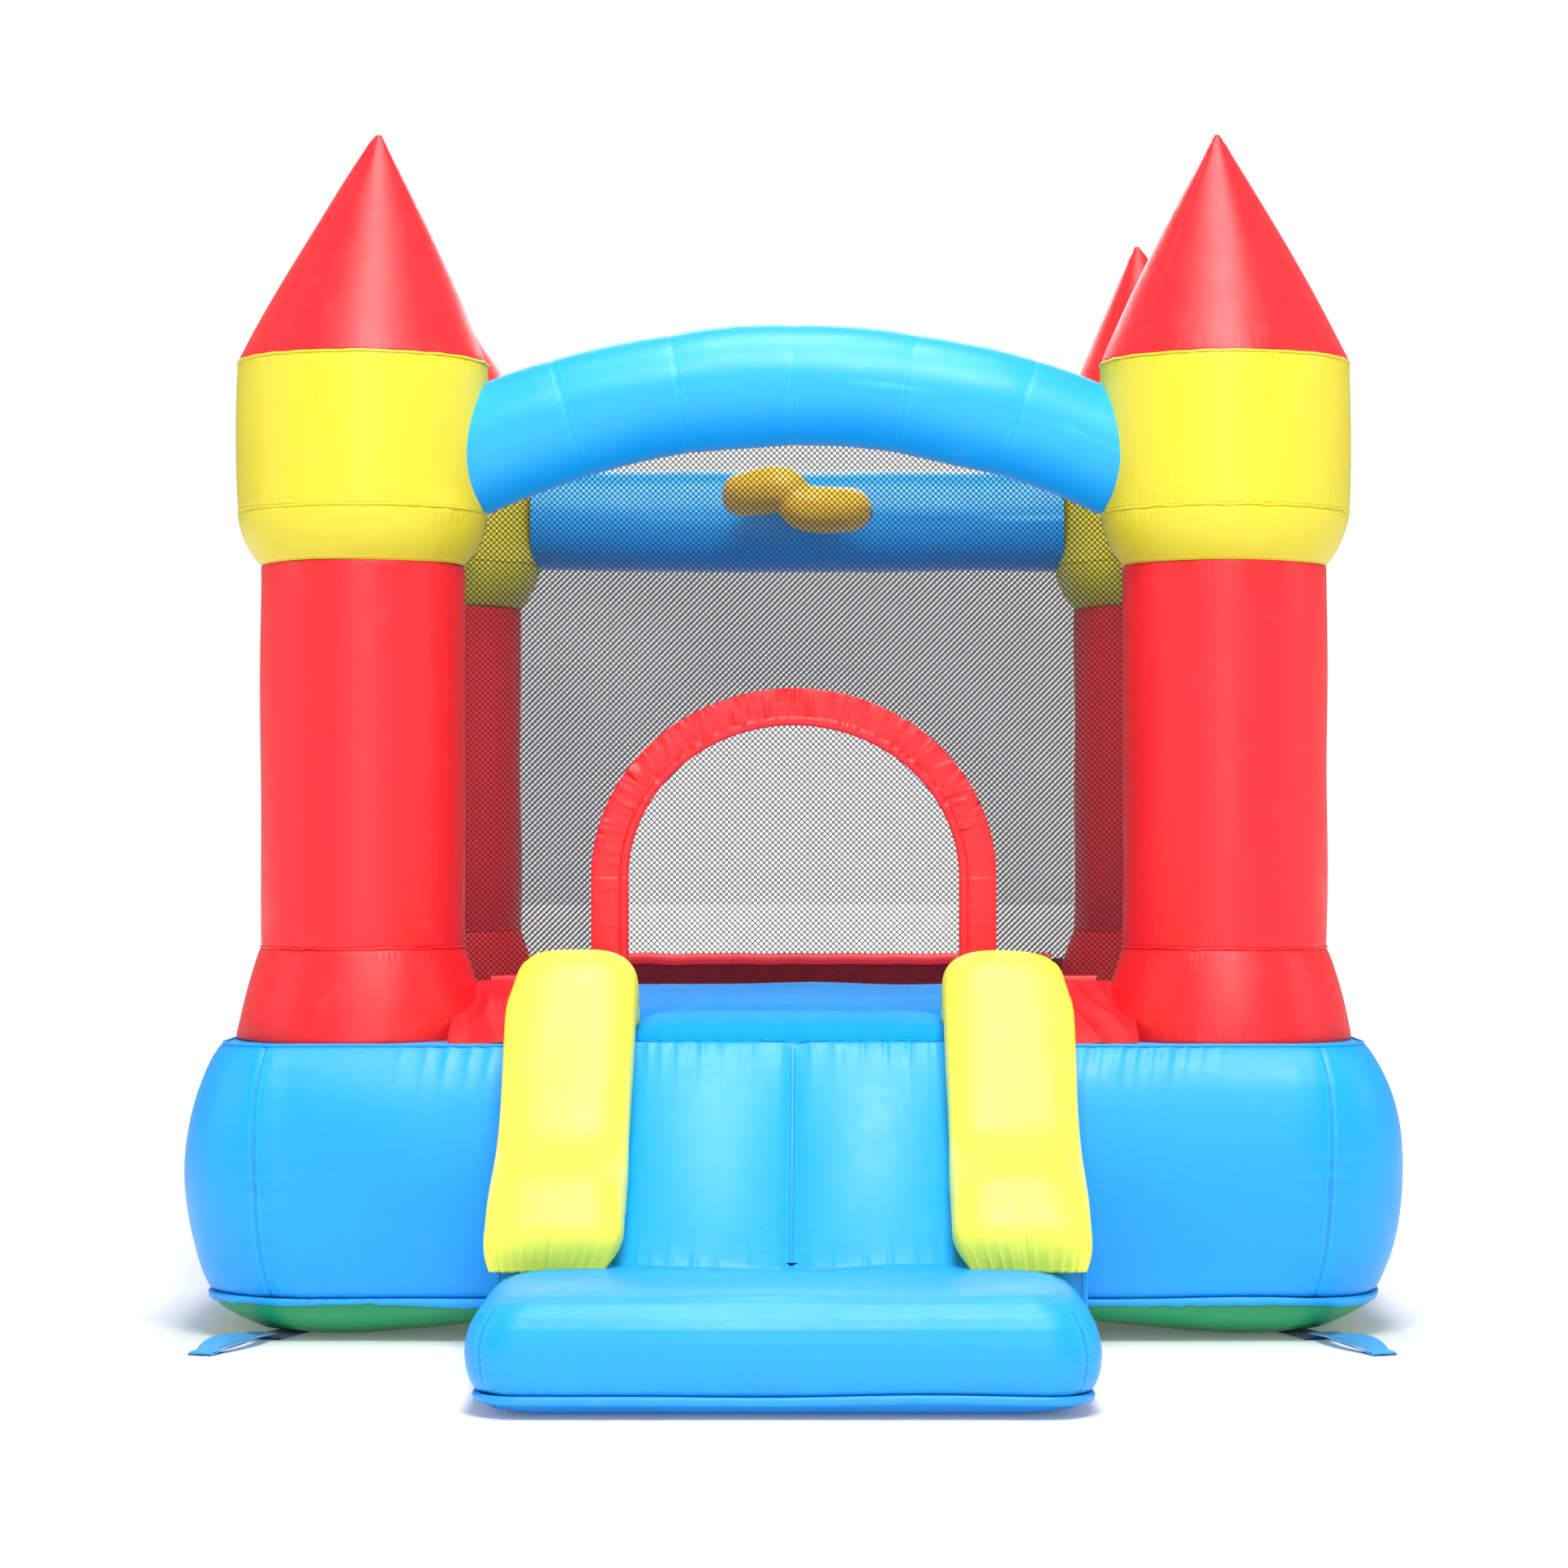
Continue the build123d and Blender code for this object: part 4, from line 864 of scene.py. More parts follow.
def doorway():
    """The gathered red band round the doorway: one wide folded strip and a narrow double hem inside it."""
    leg = np.linspace(0.484, DOOR_SPRING_Z, 90)
    crown = np.linspace(PI, 0, 420)

    def outline(inset):
        half, rise = DOOR_X - inset, DOOR_TOP_Z - DOOR_SPRING_Z - inset
        a = np.concatenate([-half + 0 * leg, half * np.cos(crown), half + 0 * leg])
        b = np.concatenate([leg, DOOR_SPRING_Z + rise * np.sin(crown), leg[::-1]])
        return a, b

    v = np.array([0, 0.02, 0.06, 0.12, 0.2, 0.3, 0.4, 0.5, 0.6, 0.68, 0.73, 0.75, 0.77, 0.80, 0.86, 0.93,
                  0.98, 1.0])
    a, b = outline(0.03)
    u = run(np.column_stack([a, b]))
    r = np.random.default_rng(905)
    creases = [(r.uniform(0, u[-1]), r.uniform(-0.5, 0.5), r.choice([0.0, 0.72]), r.uniform(0.25, 0.75),
                r.uniform(0.0018, 0.0042), r.uniform(0.003, 0.008)) for _ in range(84)]
    crownness = np.clip((b - 0.66) / 0.18, 0.25, 1)
    front, back, fold = [], [], []
    for k in v:
        x, z = outline(k * DOOR_TRIM)
        puff = 0.0030 * math.sin(PI * min(1, k / 0.74)) ** 0.5 if k < 0.74 else 0.0042 * math.sin(PI
                * min(1, (k - 0.74) / 0.26)) ** 0.5
        shift = 0.0009 * ripple(u, 20, 60, 906) * crownness
        for where, lean, start, reach, high, width in creases if k < 0.74 else ():
            d = u - where - lean * (k - start) * DOOR_TRIM
            shape = bell(d - width, width) - 1.1 * bell(d, 0.45 * width)
            shift = shift + high * shape * unit(1 - abs(k - start) / reach) ** 0.7 * crownness
        front.append(xyz(x, -TOWER_Y - 0.0012 - puff - shift, z))
        back.append(xyz(x, -TOWER_Y + 0.0012 + puff * 0.6 - shift * 0.5, z))
        # painted shade in the crease valleys, along the fold where the narrow hem meets the wide strip, and at
        # both edges
        fold.append(0.30 * unit(-shift / 0.003) + 0.75 * fade(k - 0.74, 0.012) + 0.3 * (k in (0, 1.0)))
    P = np.array(front + back[::-1] + front[:1])
    F = np.array(fold + fold[::-1] + fold[:1])
    away = np.concatenate([np.abs(v - 0.70) * DOOR_TRIM + 0.0045, 0.03 + 0 * v, [0.03]])
    o = grid("doorway_band", P, RED, fold=F, seam=(u[None], away[:, None]), flip=True)
    place(o, "doorway_trim", slot="red_cloth")


doorway()


# Slide


def ramp_point(t):
    """The middle of the ramp and its normal: an arc through RAMP, from the threshold at 0 to the landing at 1."""
    (y0, z0), (y1, z1), (y2, z2) = RAMP
    d = 2 * (y0 * (z1 - z2) + y1 * (z2 - z0) + y2 * (z0 - z1))
    s0, s1, s2 = y0 * y0 + z0 * z0, y1 * y1 + z1 * z1, y2 * y2 + z2 * z2
    cy = (s0 * (z1 - z2) + s1 * (z2 - z0) + s2 * (z0 - z1)) / d
    cz = (s0 * (y2 - y1) + s1 * (y0 - y2) + s2 * (y1 - y0)) / d
    r = math.hypot(y0 - cy, z0 - cz)
    a0, a2 = math.atan2(z0 - cz, y0 - cy), math.atan2(z2 - cz, y2 - cy)
    if abs(a2 - a0) > PI:
        a2 += 2 * PI if a2 < a0 else -2 * PI
    a = a0 + (a2 - a0) * np.asarray(t)
    return cy + r * np.cos(a), cz + r * np.sin(a), -np.cos(a), -np.sin(a)


def ramp():
    x, t = np.linspace(-SLIDE_X, SLIDE_X, 300), dense(120)
    X, T = np.meshgrid(x, t)
    y, z, ny, nz = ramp_point(T)
    lobe = np.abs(np.sin(PI * unit(np.abs(X) / PAD_HALF))) ** 0.75 * (np.abs(X) < PAD_HALF)
    ends = np.sin(PI * unit(T)) ** 0.45
    groove = fade(X, 0.006) * unit(T / 0.06) * unit((1 - T) / 0.05)
    lift = 0.024 * lobe * ends - 0.003 * groove
    near_end = np.minimum(T, 1 - T) * RAMP_LENGTH
    lift = (lift + 0.0022 * pinched(ripple(X, 8, 20, 1001)) * fade(near_end, 0.03)
            * (1 - fade(near_end, 0.004)))
    lift = lift + 0.0007 * pinched(ripple(T * RAMP_LENGTH, 10, 26, 1002)) * fade(np.abs(X), 0.02)
    lift = lift + 0.0012 * blotch(X * 5, T * 3, 0.8, 1003) * ends
    P = xyz(X, y + lift * ny, z + lift * nz)
    # painted shade in the middle groove and at both ends
    fold = 0.7 * fade(X, 0.0022) * unit((1 - T) / 0.05) + 0.6 * fade(near_end, 0.003)
    o = grid("ramp", P, BLUE, fold=fold, seam=(T * RAMP_LENGTH, np.abs(X)), flip=True)
    place(o, "slide_ramp", slot="blue_cloth")
    # the two side walls under the ramp, and the cloth below
    t = np.linspace(0, 1, 90)
    top_y, top_z, *_ = ramp_point(t)
    s = np.linspace(0, 1, 40)
    walls = []
    for sx in (-1, 1):
        S, T = np.meshgrid(s, t, indexing="ij")
        Y = np.broadcast_to(top_y[None], S.shape)
        Z = 0.003 + (top_z[None] - 0.006) * (1 - S)
        edge = np.minimum(np.minimum(S, 1 - S) * 0.3, np.minimum(T, 1 - T) * 0.5)
        puff = 0.010 * unit(edge / 0.06) ** 0.6 + 0.0015 * blotch(Y * 5, Z * 5, 0.7, 1010 + sx)
        X = sx * (SLIDE_X - 0.006 + puff)
        # painted shade round the edges of each side wall
        walls.append(grid(f"slide_side_{sx + 1}", xyz(X, Y, Z), BLUE, fold=0.6 * fade(edge, 0.003),
                          flip=sx > 0))
    x, z = np.linspace(-SLIDE_X + 0.002, SLIDE_X - 0.002, 60), np.linspace(0.002, 0.168, 20)
    X, Z = np.meshgrid(x, z)
    walls.append(grid("slide_foot", xyz(X, -1.343, Z), BLUE))
    x, y = np.linspace(-SLIDE_X + 0.004, SLIDE_X - 0.004, 60), np.linspace(-1.345, -0.885, 40)
    X, Y = np.meshgrid(x, y)
    walls.append(grid("slide_under", xyz(X, Y, 0.0012), BLUE, flip=True))
    place(joined("slide_sides", walls), "slide_ramp_sides", slot="blue_cloth")


ramp()


def threshold():
    """The crowned pad in the doorway, at the head of the ramp."""
    front, back, half = -0.932, -0.640, PAD_HALF
    a = np.linspace(0, PI, 90)
    x = np.linspace(-1, 1, 220)
    X, A = np.meshgrid(x, a)
    round_end = np.sqrt(unit(1 - np.abs(X) ** 12))
    Y = (front + back) / 2 - (back - front) / 2 * np.cos(A) * (0.80 + 0.20 * round_end)
    top = 0.030 + 0.020 * np.sin(A) ** 0.5
    Z = 0.4835 + (np.sin(A) ** 0.55) * top * round_end
    Z = Z + 0.0022 * pinched(ripple(X * 0.244, 8, 20, 1101)) * bell(A, 0.35)
    Z = Z - 0.010 * bell(X * 0.244, 0.010) * bell(A - 0.15, 0.25)
    P = xyz(X * half, Y, Z)
    # painted shade along the front seam and in the dip at the middle
    fold = 0.7 * bell(A, 0.05) + 0.5 * bell(X * 0.244, 0.003) * bell(A - 0.1, 0.2)
    o = grid("threshold", P, FLOOR_BLUE, fold=fold, seam=(X * half, A * 0.06))
    place(o, "slide_threshold_pad", slot="blue_cloth")


threshold()


def rail(side):
    """One side rail: a bolster with a rounded head that follows the ramp down to the landing."""
    keys = np.array([(-1.402, 0.172), (-1.414, 0.238), (-1.350, 0.306), (-1.190, 0.372), (-1.060, 0.512),
                     (-0.965, 0.612), (-0.885, 0.636), (-0.812, 0.606), (-0.792, 0.540), (-0.792, 0.484)])
    gaps = run(keys)
    gaps /= gaps[-1]

    def smooth(q):
        """A Catmull-Rom curve through the keys."""
        out = []
        for value in np.atleast_1d(q):
            i = min(len(keys) - 2, max(0, int(np.searchsorted(gaps, value, side="right")) - 1))
            w = (value - gaps[i]) / (gaps[i + 1] - gaps[i])
            p0, p1, p2, p3 = (keys[min(len(keys) - 1, max(0, i + k))] for k in (-1, 0, 1, 2))
            out.append(0.5 * (2 * p1 + (p2 - p0) * w + (2 * p0 - 5 * p1 + 4 * p2 - p3) * w ** 2
                              + (3 * p1 - p0 - 3 * p2 + p3) * w ** 3))
        return np.array(out)

    n = 150
    crest = smooth(np.linspace(0, 1, n))
    bed_t = np.linspace(0, 1, n)
    bed = np.array([(-1.398, 0.171), (-1.345, 0.171)]
                   + [tuple(float(c) for c in ramp_point(k)[:2]) for k in np.linspace(1, 0, 12)[1:]]
                   + [(-0.925, 0.484), (-0.794, 0.484)])
    bed_s = run(bed)
    bed = np.column_stack([np.interp(bed_t * bed_s[-1], bed_s, bed[:, 0]),
                           np.interp(bed_t * bed_s[-1], bed_s, bed[:, 1])])
    bed[:, 1] += 0.002
    spine = (crest + bed) / 2
    spine[0], spine[-1] = spine[1], spine[-2]
    loop = np.vstack([crest, bed[::-1], crest[:1]])
    heart = np.vstack([spine, spine[::-1], spine[:1]])
    on_top = np.concatenate([np.ones(n), np.zeros(n), [1.0]])
    arc = run(loop)
    a = np.sort(np.concatenate([dense(100) * PI * 0.5, PI * 0.5 + dense(100) * PI * 0.5]))
    power = 3.1
    across = np.sign(np.cos(a)) * np.abs(np.cos(a)) ** (2 / power)
    out = np.abs(np.sin(a)) ** (2 / power)
    half, word = 0.098, "left" if side < 0 else "right"
    middle = side * 0.3455 + (-0.008 if side < 0 else -0.001)
    S = arc[None]
    P = heart[None] + (loop - heart)[None] * out[:, None, None]
    low = unit((0.262 - loop[:, 1]) / 0.09) * unit((-1.25 - loop[:, 0]) / 0.06)
    high = unit((loop[:, 1] - 0.60) / 0.04)
    wide = 1.06 - 0.20 * low ** 1.5 - 0.05 * high - 0.03 * bell(loop[:, 0] + 1.12, 0.09)
    sway = side * (0.010 * low - 0.006 * high)
    X = middle + sway[None] + side * half * across[:, None] * wide[None]
    normal = np.gradient(loop, axis=0)
    normal = np.column_stack([-normal[:, 1], normal[:, 0]])
    normal /= np.linalg.norm(normal, axis=1)[:, None] + 1e-9
    foot = bell(loop[:, 0] + 1.40, 0.07)[None] * bell(loop[:, 1] - 0.18, 0.035)[None]
    skin = unit(out[:, None]) ** 3
    gather = pinched(ripple(across[:, None] * half + 0 * S, 16, 40, 1200 + side))
    push = (0.0018 * gather * foot * skin
            + 0.0018 * blotch(S * 6, across[:, None] * 0.6, 0.7, 1210 + side) * skin * on_top[None])
    seam_at = np.abs(np.abs(across[:, None]) - 0.80) * half
    line = np.where(across[:, None] > 0, seam_at, np.abs(across[:, None] + 0.97) * half * 2)
    push = push - 0.0018 * fade(line, 0.0022) * (skin > 0.3)
    small = pinched(ripple(S, 14, 34, 1220 + side))
    push = push + 0.0007 * small * fade(line, 0.014) * skin
    P = P + push[..., None] * normal[None]
    P[..., 1] = np.maximum(P[..., 1], 0.1715)
    # painted shade along the seam lines and between the gathers at the foot
    fold = 0.35 * fade(line, 0.0014) * (skin > 0.3) + 0.25 * unit(-gather) * foot
    points = np.stack([X, P[..., 0], P[..., 1]], axis=-1)
    o = grid(f"rail_{word}", points, RAIL, close_u=True, fold=fold,
             seam=(S + 0 * line, line + 0.003), flip=side > 0)
    place(o, f"slide_rail_{word}", slot="rail_yellow_cloth")


rail(-1)
rail(1)


def landing():
    """The landing cushion: it runs on from the foot of the ramp, with a hem round its bottom seam."""
    back, mid = -1.322, -0.010
    rows = [(0.0150, 0.0345), (0.011, 0.040), (0.006, 0.052), (0.002, 0.068), (0.000, 0.088), (0.002, 0.108),
            (0.008, 0.128),
            (0.018, 0.146), (0.035, 0.161), (0.055, 0.170), (0.08, 0.1745), (0.11, 0.1765), (0.16, 0.1775),
            (0.25, 0.177), (0.3885, 0.1755)]
    t = np.linspace(0, 1, len(rows))
    fine = np.linspace(0, 1, 90)
    inset, height = np.interp(fine, t, [p[0] for p in rows]), np.interp(fine, t, [p[1] for p in rows])

    def u_line(i, n=500):
        """Round three sides at that inset: right side forward, across the front, and back on the left."""
        half, front = LANDING_X + 0.004 - i, LANDING_FRONT + i
        r = float(np.clip(0.075 - 0.30 * i, 0.004, max(0.004, min(half, back - front) - 0.001)))
        side_y = np.linspace(back, front + r, 120)
        turn = np.linspace(0, PI / 2, 60)[1:-1]
        across = np.linspace(half - r, -half + r, n - 356)
        x = np.concatenate([half + 0 * side_y, half - r + r * np.cos(turn), across,
                            -half + r - r * np.sin(turn), -half + 0 * side_y])
        y = np.concatenate([side_y, front + r - r * np.sin(turn), front + 0 * across,
                            front + r - r * np.cos(turn), side_y[::-1]])
        nx = np.concatenate([1 + 0 * side_y, np.cos(turn), 0 * across, -np.sin(turn), -1 + 0 * side_y])
        ny = np.concatenate([0 * side_y, -np.sin(turn), -1 + 0 * across, -np.cos(turn), 0 * side_y])
        return xyz(x, y, 0), xyz(nx, ny, 0)

    lines = [u_line(i) for i in inset]
    P, N = np.array([p for p, _ in lines]), np.array([n for _, n in lines])
    P[..., 2] = height[:, None]
    u = arc_lengths(P, 1)[20][None]
    z = height[:, None]
    edge = np.minimum(np.abs(u - u[0, 150]), np.abs(u - u[0, -151]))
    belly = bell(z - 0.10, 0.05) * (inset[:, None] < 0.03)
    ridge = pinched(ripple(z * 10, 8, 15, 1301))
    push = 0.0020 * belly * ridge * fade(edge, 0.024) - 0.0022 * fade(edge, 0.003) * (z < 0.150)
    gather = gathers(u, 12, 28, 1302, 0.8, 3, 1303, 1.5)
    push = (push + 0.0020 * gather * fade(z - 0.0345, 0.022) * (1 - fade(z - 0.0345, 0.003))
            - 0.003 * fade(z - 0.0345, 0.003))
    push = push + 0.0018 * blotch(u * 4, z * 9, 0.8, 1304) * (z < 0.165)
    P = P + push[..., None] * N
    P[..., 2] += 0.0024 * blotch(P[..., 0] * 5, P[..., 1] * 7, 0.8, 1305) * unit((z - 0.155) / 0.015)
    P[..., 2] += 0.0025 * ripple(u, 0.8, 2.6, 1306) * fade(z - 0.0345, 0.02)
    P[..., 0] += mid
    P[..., 1] = np.minimum(P[..., 1], back)
    # painted shade along the corner seams, at the bottom seam and between its gathers
    fold = (0.5 * fade(edge, 0.0012) * (z < 0.15) + 0.9 * fade(z - 0.0345, 0.003)
            + 0.2 * unit(-gather) * fade(z - 0.03, 0.02))
    top = grid("landing_top", P, BLUE, fold=fold, seam=(z + 0 * u, edge + 0 * z))
    wall = grid("landing_back", np.stack([P[:, 0], P[:, -1]], axis=1), BLUE, flip=True)
    low, out = P[0], N[0]
    hem = []
    for o, d in LANDING_HEM:
        flare = 0.006 * fade(edge[0], 0.02) * (1 - d / LANDING_DROP)
        hem.append(low + out * (o + flare + 0.001 * ripple(u[0], 6, 18, 1307) * d / LANDING_DROP)[:, None]
                   - np.array([0, 0, 1.0]) * d)
    lip = grid("landing_hem", np.array(hem), BLUE, fold=HEM_PAINTED_SHADE, flip=True)
    under = [(0.0150, 0.033), (0.022, 0.022), (0.036, 0.010), (0.06, 0.003), (0.10, 0.0008), (0.3885, 0.0006)]
    Q = np.array([u_line(i)[0] + [mid, 0, z] for i, z in under])
    Q[..., 1] = np.minimum(Q[..., 1], back)
    # painted shade on the underside next to the hem
    bottom = grid("landing_under", Q, BLUE, fold=np.array([0.9, 0.3, 0, 0, 0, 0])[:, None], flip=True)
    o = place(joined("landing", [top, wall, lip, bottom]), "slide_landing", slot="blue_cloth")


landing()


# Hoop


def hoop():
    """An inflated ring, kinked where it is sewn to its neck, with its left side tipped up."""
    a = np.linspace(0, 2 * PI, 241)
    R, r = 0.102, 0.041
    cx, cy, cz = 0.0, 0.372, 1.462
    x, y = cx + R * np.cos(a) * 1.02, cy + R * np.sin(a)
    step = 0.5 - 0.5 * np.tanh((np.cos(a) * R + 0.008) / 0.017)
    z = cz - 0.013 + step * (0.030 + 0.16 * (np.cos(a) * R + 0.10)) + 0.004 * np.sin(a)
    path = xyz(x, y, z)
    way = np.gradient(path, axis=0)
    way[0] = way[-1] = path[1] - path[-2]
    side, up = square_to(way)
    b = np.linspace(0, 2 * PI, 81)
    kinks = [PI * 1.47, PI * 0.5]
    pull, fold = 0, 0
    for k, at in enumerate(kinks):
        d = np.abs((a - at + PI) % (2 * PI) - PI) * R
        pull = (pull + 0.005 * fade(d, 0.010)[:, None]
                * (1.0 + 0.3 * pinched(ripple(b / (2 * PI), 8, 15, 1400 + k, whole=True)))[None])
        # painted shade at the kinks where the ring is sewn
        fold = fold + 0.6 * fade(d, 0.003)[:, None]
    rr = r - pull + 0.001 * blotch(a[:, None] * 2, b[None], 0.8, 1410)
    P = (path[:, None] + rr[..., None]
         * (side[:, None] * np.cos(b)[None, :, None] + up[:, None] * np.sin(b)[None, :, None]))
    ring = grid("hoop", P, HOOP, close_u=True, fold=fold)
    place(ring, "hoop_ring", slot="hoop_yellow_cloth")
    t = np.linspace(0, 1, 30)
    neck = tube("neck", xyz(0, 0.470 + t * 0.064, 1.478), 0.026 + 0.003 * np.abs(2 * t - 1) ** 2, HOOP, 40)
    place(neck, "hoop_neck", slot="hoop_yellow_cloth")


hoop()


# Straps, and finishes on the pieces that keep their CAD shape


def paint(node, material):
    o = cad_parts[node]
    for s in o.material_slots:
        s.material = material
    if not o.material_slots:
        o.data.materials.append(material)


def anchor_loop(corner):
    """A webbing loop that runs out over the ground from the corner of the base, with its end folded flat."""
    sx, sy = CORNERS[corner]
    root, end, along, across = strap_frame(sx, sy)
    length = float(np.linalg.norm(end - root))
    t, w = np.linspace(0, 1, 90), np.linspace(-1, 1, 13)
    rise = 0.0022 + 0.009 * (1 - t) ** 1.8 + 0.005 * np.sin(PI * unit((t - 0.1) / 0.8))
    made = []
    for leg in (-1, 1):
        gap = 0.0145 * np.sin(PI * unit((t - 0.12) / 0.72)) ** 0.8
        middle = leg * (0.0125 * (1 - 0.2 * t) + gap * 0.75) * np.where(t > 0.8, 1 - (t - 0.8) * 0.6, 1)
        tilt = 0.006 * leg * np.sin(PI * t)
        faces = []
        for lift in (0.0009, -0.0009):
            d = middle[:, None] + 0.0118 * w[None]
            plan = root + (t * length)[:, None, None] * along + d[..., None] * across
            z = rise[:, None] + lift + tilt[:, None] * w[None] + 0 * d
            faces.append(np.concatenate([plan, np.maximum(z, 0.0006 + (lift > 0) * 0.0016)[..., None]],
                                        axis=-1))
        ring = np.concatenate([faces[0], faces[1][:, ::-1], faces[0][:, :1]], axis=1)
        made.append(grid(f"leg_{corner}_{leg + 1}", ring, WEBBING, close_u=True))
    v = np.linspace(-1, 1, 13)
    fold = []
    for back, z in ((0.012, 0.0012), (-0.030, 0.0010), (-0.034, 0.0030), (-0.030, 0.0058), (0.012, 0.0062)):
        plan = end - along * 0.002 + along * (-0.036 - back)
        fold.append(np.concatenate([plan + (0.021 * v)[:, None] * across, (z + 0 * v)[:, None]], axis=-1))
    made.append(grid(f"tip_{corner}", np.array(fold), WEBBING))
    place(joined(f"stake_loop_{corner}", made), f"anchor_loop_{corner}", slot="webbing",
          body=f"loop_{corner}")


for corner in CORNERS:
    anchor_loop(corner)


def anchor_tabs():
    """The four sewn tabs under the base: double webbing with a rounded edge, dented by two rows of stitches."""
    made = []
    for sx, sy in CORNERS.values():
        root, _, along, across = strap_frame(sx, sy)
        t = np.linspace(-0.126, 0.004, 66)
        turn = np.linspace(0, 2 * PI, 49)
        wide = rounded(turn, 0.0315, 0.35)
        thick = 0.0014 * np.sign(np.sin(turn)) * np.abs(np.sin(turn)) ** 0.6
        stitch = 1 - 0.35 * (bell(t + 0.014, 0.002) + bell(t + 0.112, 0.002))
        sag = 0.0020 + 0.0002 * ripple(t * 8, 2, 5, 990)
        plan = root + t[:, None, None] * along + wide[None, :, None] * across
        z = sag[:, None] + stitch[:, None] * thick[None]
        made.append(grid(f"tab_{sx}_{sy}", np.concatenate([plan, z[..., None]], axis=-1), DARK_WEBBING,
                         close_u=True))
    place(joined("tabs", made), "anchor_tabs", slot="webbing")


def tube_strap():
    """The webbing strap that pulls the sleeve tight round the blower's outlet, with its buckle."""
    made = []
    around, section = np.linspace(0, 2 * PI, 161), np.linspace(0, 2 * PI, 33)
    wide = rounded(section, 0.0128, 0.35)
    thick = 0.0013 * np.sign(np.sin(section)) * np.abs(np.sin(section)) ** 0.6
    r = 0.0592 + 0.0006 * ripple(around / (2 * PI), 3, 8, 980, whole=True)
    R = r[:, None] + thick[None] - 0.012 * np.abs(wide[None]) ** 1.2
    y = STRAP_Y + wide[None] + 0.0006 * np.sin(3 * around)[:, None]
    lean = -0.245 * (y - STRAP_Y)
    P = xyz(FAN_X + R * np.cos(around)[:, None], y, STRAP_Z + lean + R * np.sin(around)[:, None])
    made.append(grid("strap_band", P, BLACK_WEBBING, close_u=True))
    for y0 in (1.1545, 1.1775):
        made.append(tube_ring(f"buckle_{y0}", y0))
    place(joined("tube_strap", made), "inflation_tube_strap", slot="webbing")


def tube_ring(name, y0):
    """One bar of the ladder buckle on top of the strap."""
    x, a = np.linspace(-0.0165, 0.0165, 30), np.linspace(0, 2 * PI, 17)
    end = np.sqrt(np.clip(1 - (np.abs(x) / 0.0166) ** 8, 0.02, 1))
    rise = 0.064 - (x * 7.5) ** 2 * 0.12
    thick = 0.0026 * end[:, None]
    P = xyz(FAN_X + x[:, None], y0 + thick * np.cos(a)[None],
            STRAP_Z + rise[:, None] + thick * np.sin(a)[None])
    return grid(name, P, BLACK, close_u=True)


DARK_WEBBING = ribbed("dark blue webbing", (0.01, 0.13, 0.42))
anchor_tabs()
paint("inner_webs", cloth("web cloth", (0.80, 0.80, 0.80), (0.45, 0.45, 0.47), rough=0.6))
ORANGE = moulded("housing plastic", (0.80, 0.16, 0.02), 0.34)
BLACK = moulded("black plastic", (0.018, 0.018, 0.020), 0.50)
for node in ("blower_housing_left", "blower_housing_right"):
    paint(node, ORANGE)
for node in ("blower_intake_grille", "blower_switch_box", "blower_handle", "blower_stand"):
    paint(node, BLACK)
paint("blower_impeller", moulded("impeller plastic", (0.05, 0.05, 0.055), 0.45))
paint("blower_switch_rocker", moulded("rocker plastic", (0.62, 0.02, 0.02), 0.30, scuffs=0.1))
paint("blower_feet", moulded("foot rubber", (0.02, 0.02, 0.02), 0.8, grain=700.0))
paint("blower_motor", moulded("motor metal", (0.55, 0.56, 0.58), 0.38, metal=0.9))
paint("blower_housing_screws", moulded("screw metal", (0.60, 0.60, 0.62), 0.30, metal=1.0))
tube_strap()


def air_tube():
    """The loose cloth sleeve that carries the air, wrinkled along its length."""
    stations = [(0.894, 0.150, 0.060), (0.945, 0.147, 0.064), (1.000, 0.140, 0.068), (1.050, 0.128, 0.067),
                (1.100, 0.114, 0.063),
                (1.145, 0.101, 0.058), (1.166, 0.099, 0.0555), (1.1845, 0.097, 0.0555)]
    y = np.linspace(0.894, 1.1845, 130)
    s = np.array(stations)
    z, r = np.interp(y, s[:, 0], s[:, 1]), np.interp(y, s[:, 0], s[:, 2])
    a = np.linspace(0, 2 * PI, 161)
    turn = a / (2 * PI)
    run = pinched(ripple(turn, 10, 22, 1500, whole=True))[None] * (fade(y - 1.16, 0.06)
                                                                   + 0.5 * fade(y - 0.894, 0.04))[:, None]
    cross = pinched(ripple(y * 10, 1.5, 3.5, 1501))[:, None] * (0.5 + 0.5 * np.sin(a + 1.0))[None]
    rr = r[:, None] + 0.0022 * run + 0.0026 * cross * np.sin(PI * (y - 0.894) / 0.29)[:, None]
    P = xyz(FAN_X + rr * np.cos(a)[None], y[:, None], z[:, None] + rr * np.sin(a)[None])
    # painted shade in the valleys of the wrinkles
    o = grid("air_tube", P, TUBE, close_u=True, fold=0.3 * unit(-run) + 0.25 * unit(-cross), flip=True)
    place(o, "inflation_tube", slot="tube_cloth")


air_tube()


# Camera, floor and light


def camera():
    data = bpy.data.cameras.new("camera")
    o = bpy.data.objects.new("camera", data)
    bpy.context.collection.objects.link(o)
    o.location = (0.038, -7.27, 0.82)
    o.rotation_euler = (PI / 2, 0, 0)
    data.lens, data.sensor_width = 90.9, 36.0
    data.shift_x, data.shift_y = -0.0207, 0.0331
    data.clip_end = 60
    bpy.context.scene.camera = o


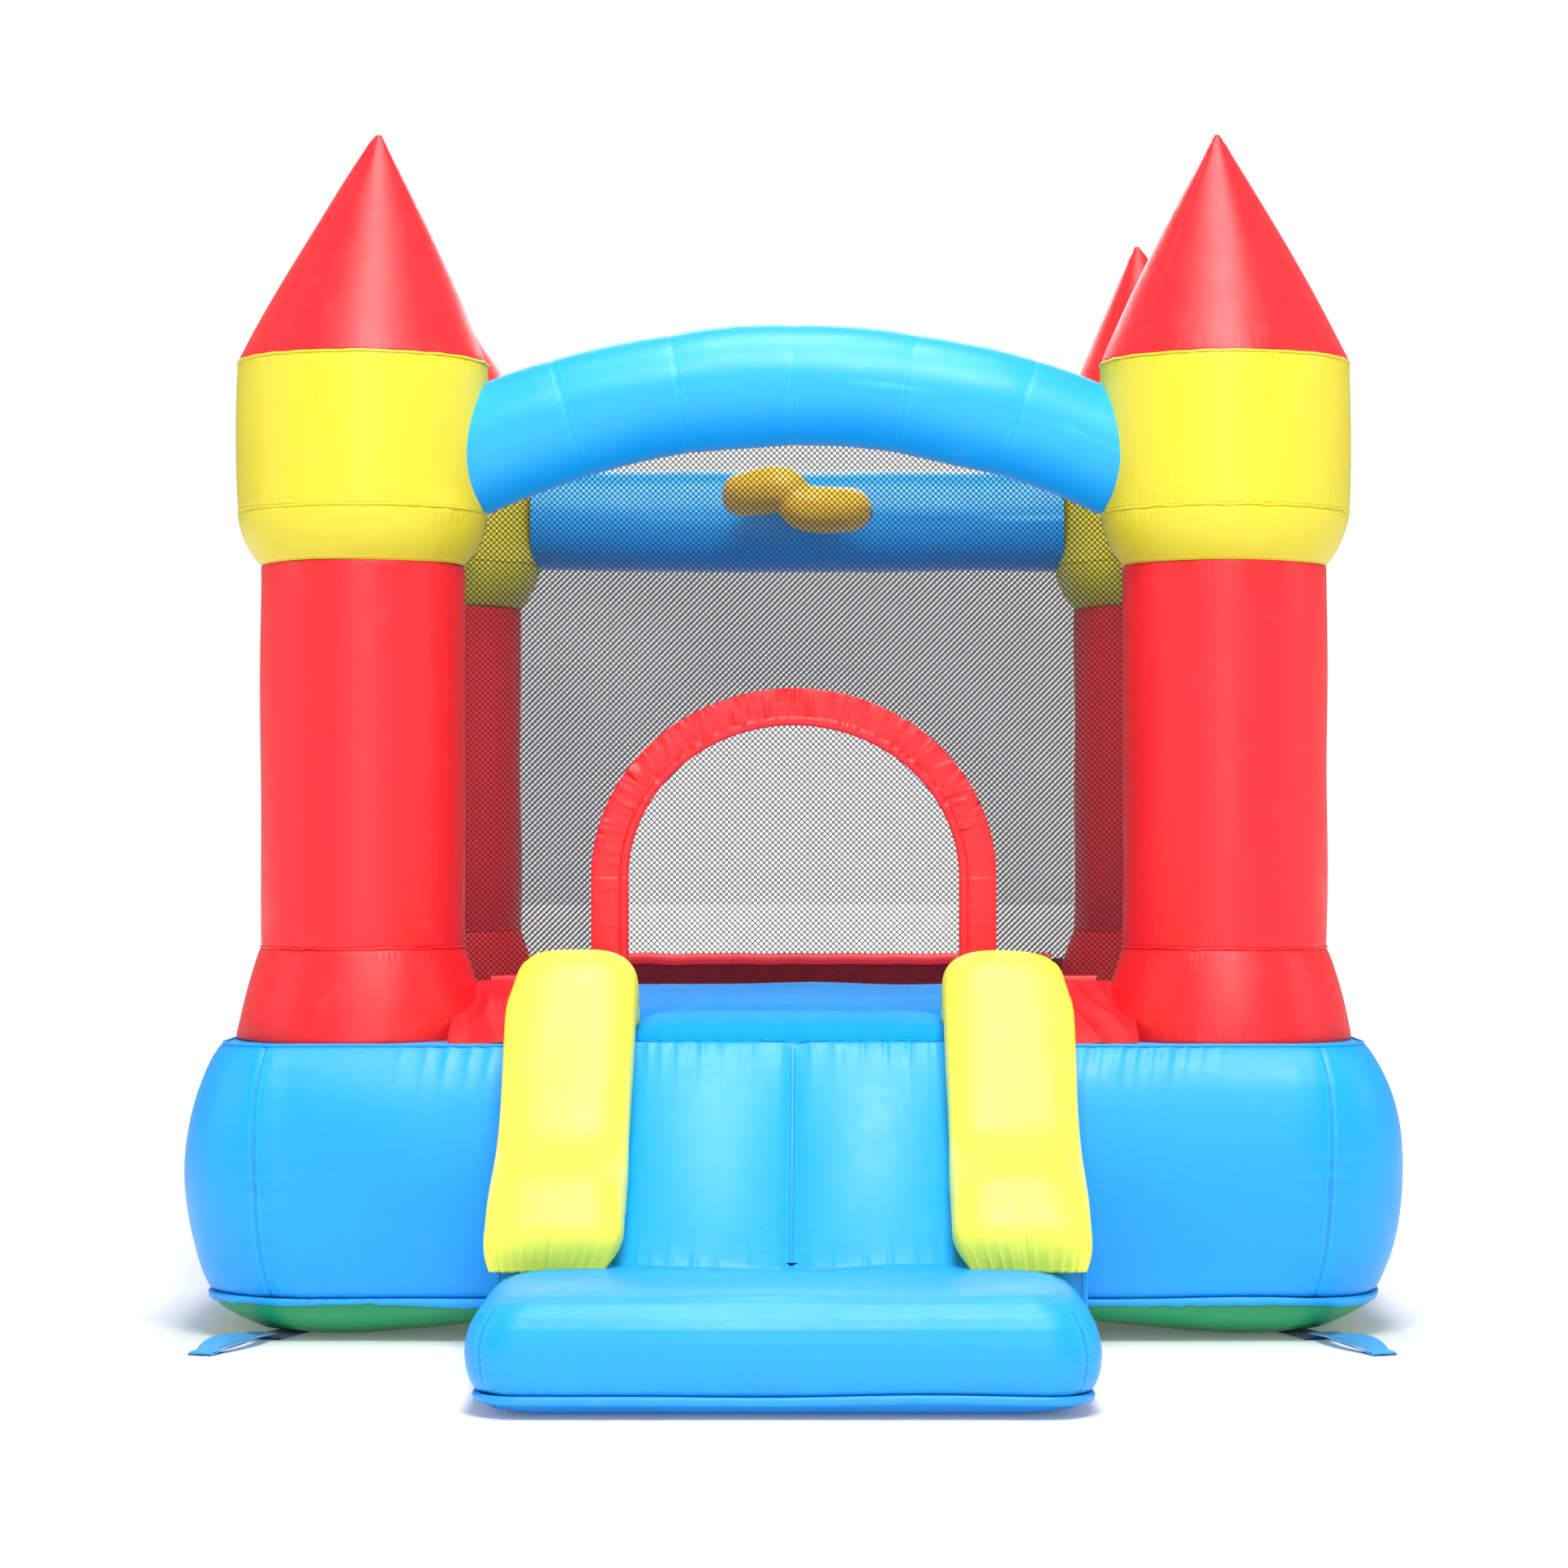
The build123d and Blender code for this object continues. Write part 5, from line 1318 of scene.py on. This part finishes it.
def light(name, where, at, size, power, colour=(1, 1, 1)):
    data = bpy.data.lights.new(name, "AREA")
    data.shape, data.size, data.size_y = "RECTANGLE", size[0], size[1]
    data.energy, data.color = power, colour
    o = bpy.data.objects.new(name, data)
    bpy.context.collection.objects.link(o)
    o.location = where
    way = np.array(at, float) - np.array(where, float)
    o.rotation_euler = Vector(way).to_track_quat("-Z", "Y").to_euler()
    return o


def paper_floor():
    """A wide pale floor. It goes over into plain white away from the lights, so that it has no edge."""
    s = 40.0
    mesh = bpy.data.meshes.new("ground")
    mesh.from_pydata([(-s, -s, 0), (s, -s, 0), (s, s, 0), (-s, s, 0)], [], [(0, 1, 2, 3)])
    ground = bpy.data.objects.new("ground", mesh)
    bpy.context.collection.objects.link(ground)
    paper = Nodes("pale floor")
    away = paper.add("VectorMath", outputs=1, settings={"operation": "LENGTH"},
                     i0=paper.add("TexCoord", outputs=3))
    paper.put(paper.shader.inputs["Emission Strength"], paper.spread(away, 2.6, 6.5, 0.10, 0.80))
    mesh.materials.append(paper.done((0.82, 0.82, 0.82, 1), 0.85, Emission_Color=(1, 1, 1, 1)))


def white_world():
    """White where the camera sees it, and dimmer as a light."""
    world = bpy.context.scene.world or bpy.data.worlds.new("world")
    bpy.context.scene.world = world
    world.use_nodes = True
    sky = world.node_tree.nodes["Background"]
    sky.inputs[0].default_value = (1, 1, 1, 1)
    seen = world.node_tree.nodes.new("ShaderNodeLightPath")
    level_of = world.node_tree.nodes.new("ShaderNodeMapRange")
    level_of.inputs[3].default_value, level_of.inputs[4].default_value = 0.40, 1.0
    world.node_tree.links.new(seen.outputs["Is Camera Ray"], level_of.inputs[0])
    world.node_tree.links.new(level_of.outputs[0], sky.inputs[1])


camera()
paper_floor()
light("key", (0.4, -4.9, 6.2), (0, -0.4, 0.8), (2.0, 2.0), 400)
light("front", (0.1, -7.6, 2.0), (0, 0, 0.9), (1.2, 2.0), 62)
light("top", (0, -0.9, 6.8), (0, -0.9, 0), (1.7, 1.7), 190)
light("left", (-5.5, -1.5, 3.0), (0, 0, 0.9), (2.0, 3.0), 40)
light("right", (5.5, -1.5, 3.0), (0, 0, 0.9), (2.0, 3.0), 40)
light("back", (0, 5.5, 4.2), (0, 0.4, 0.8), (3.0, 2.5), 150)
white_world()
bpy.context.scene.view_settings.view_transform = "Standard"
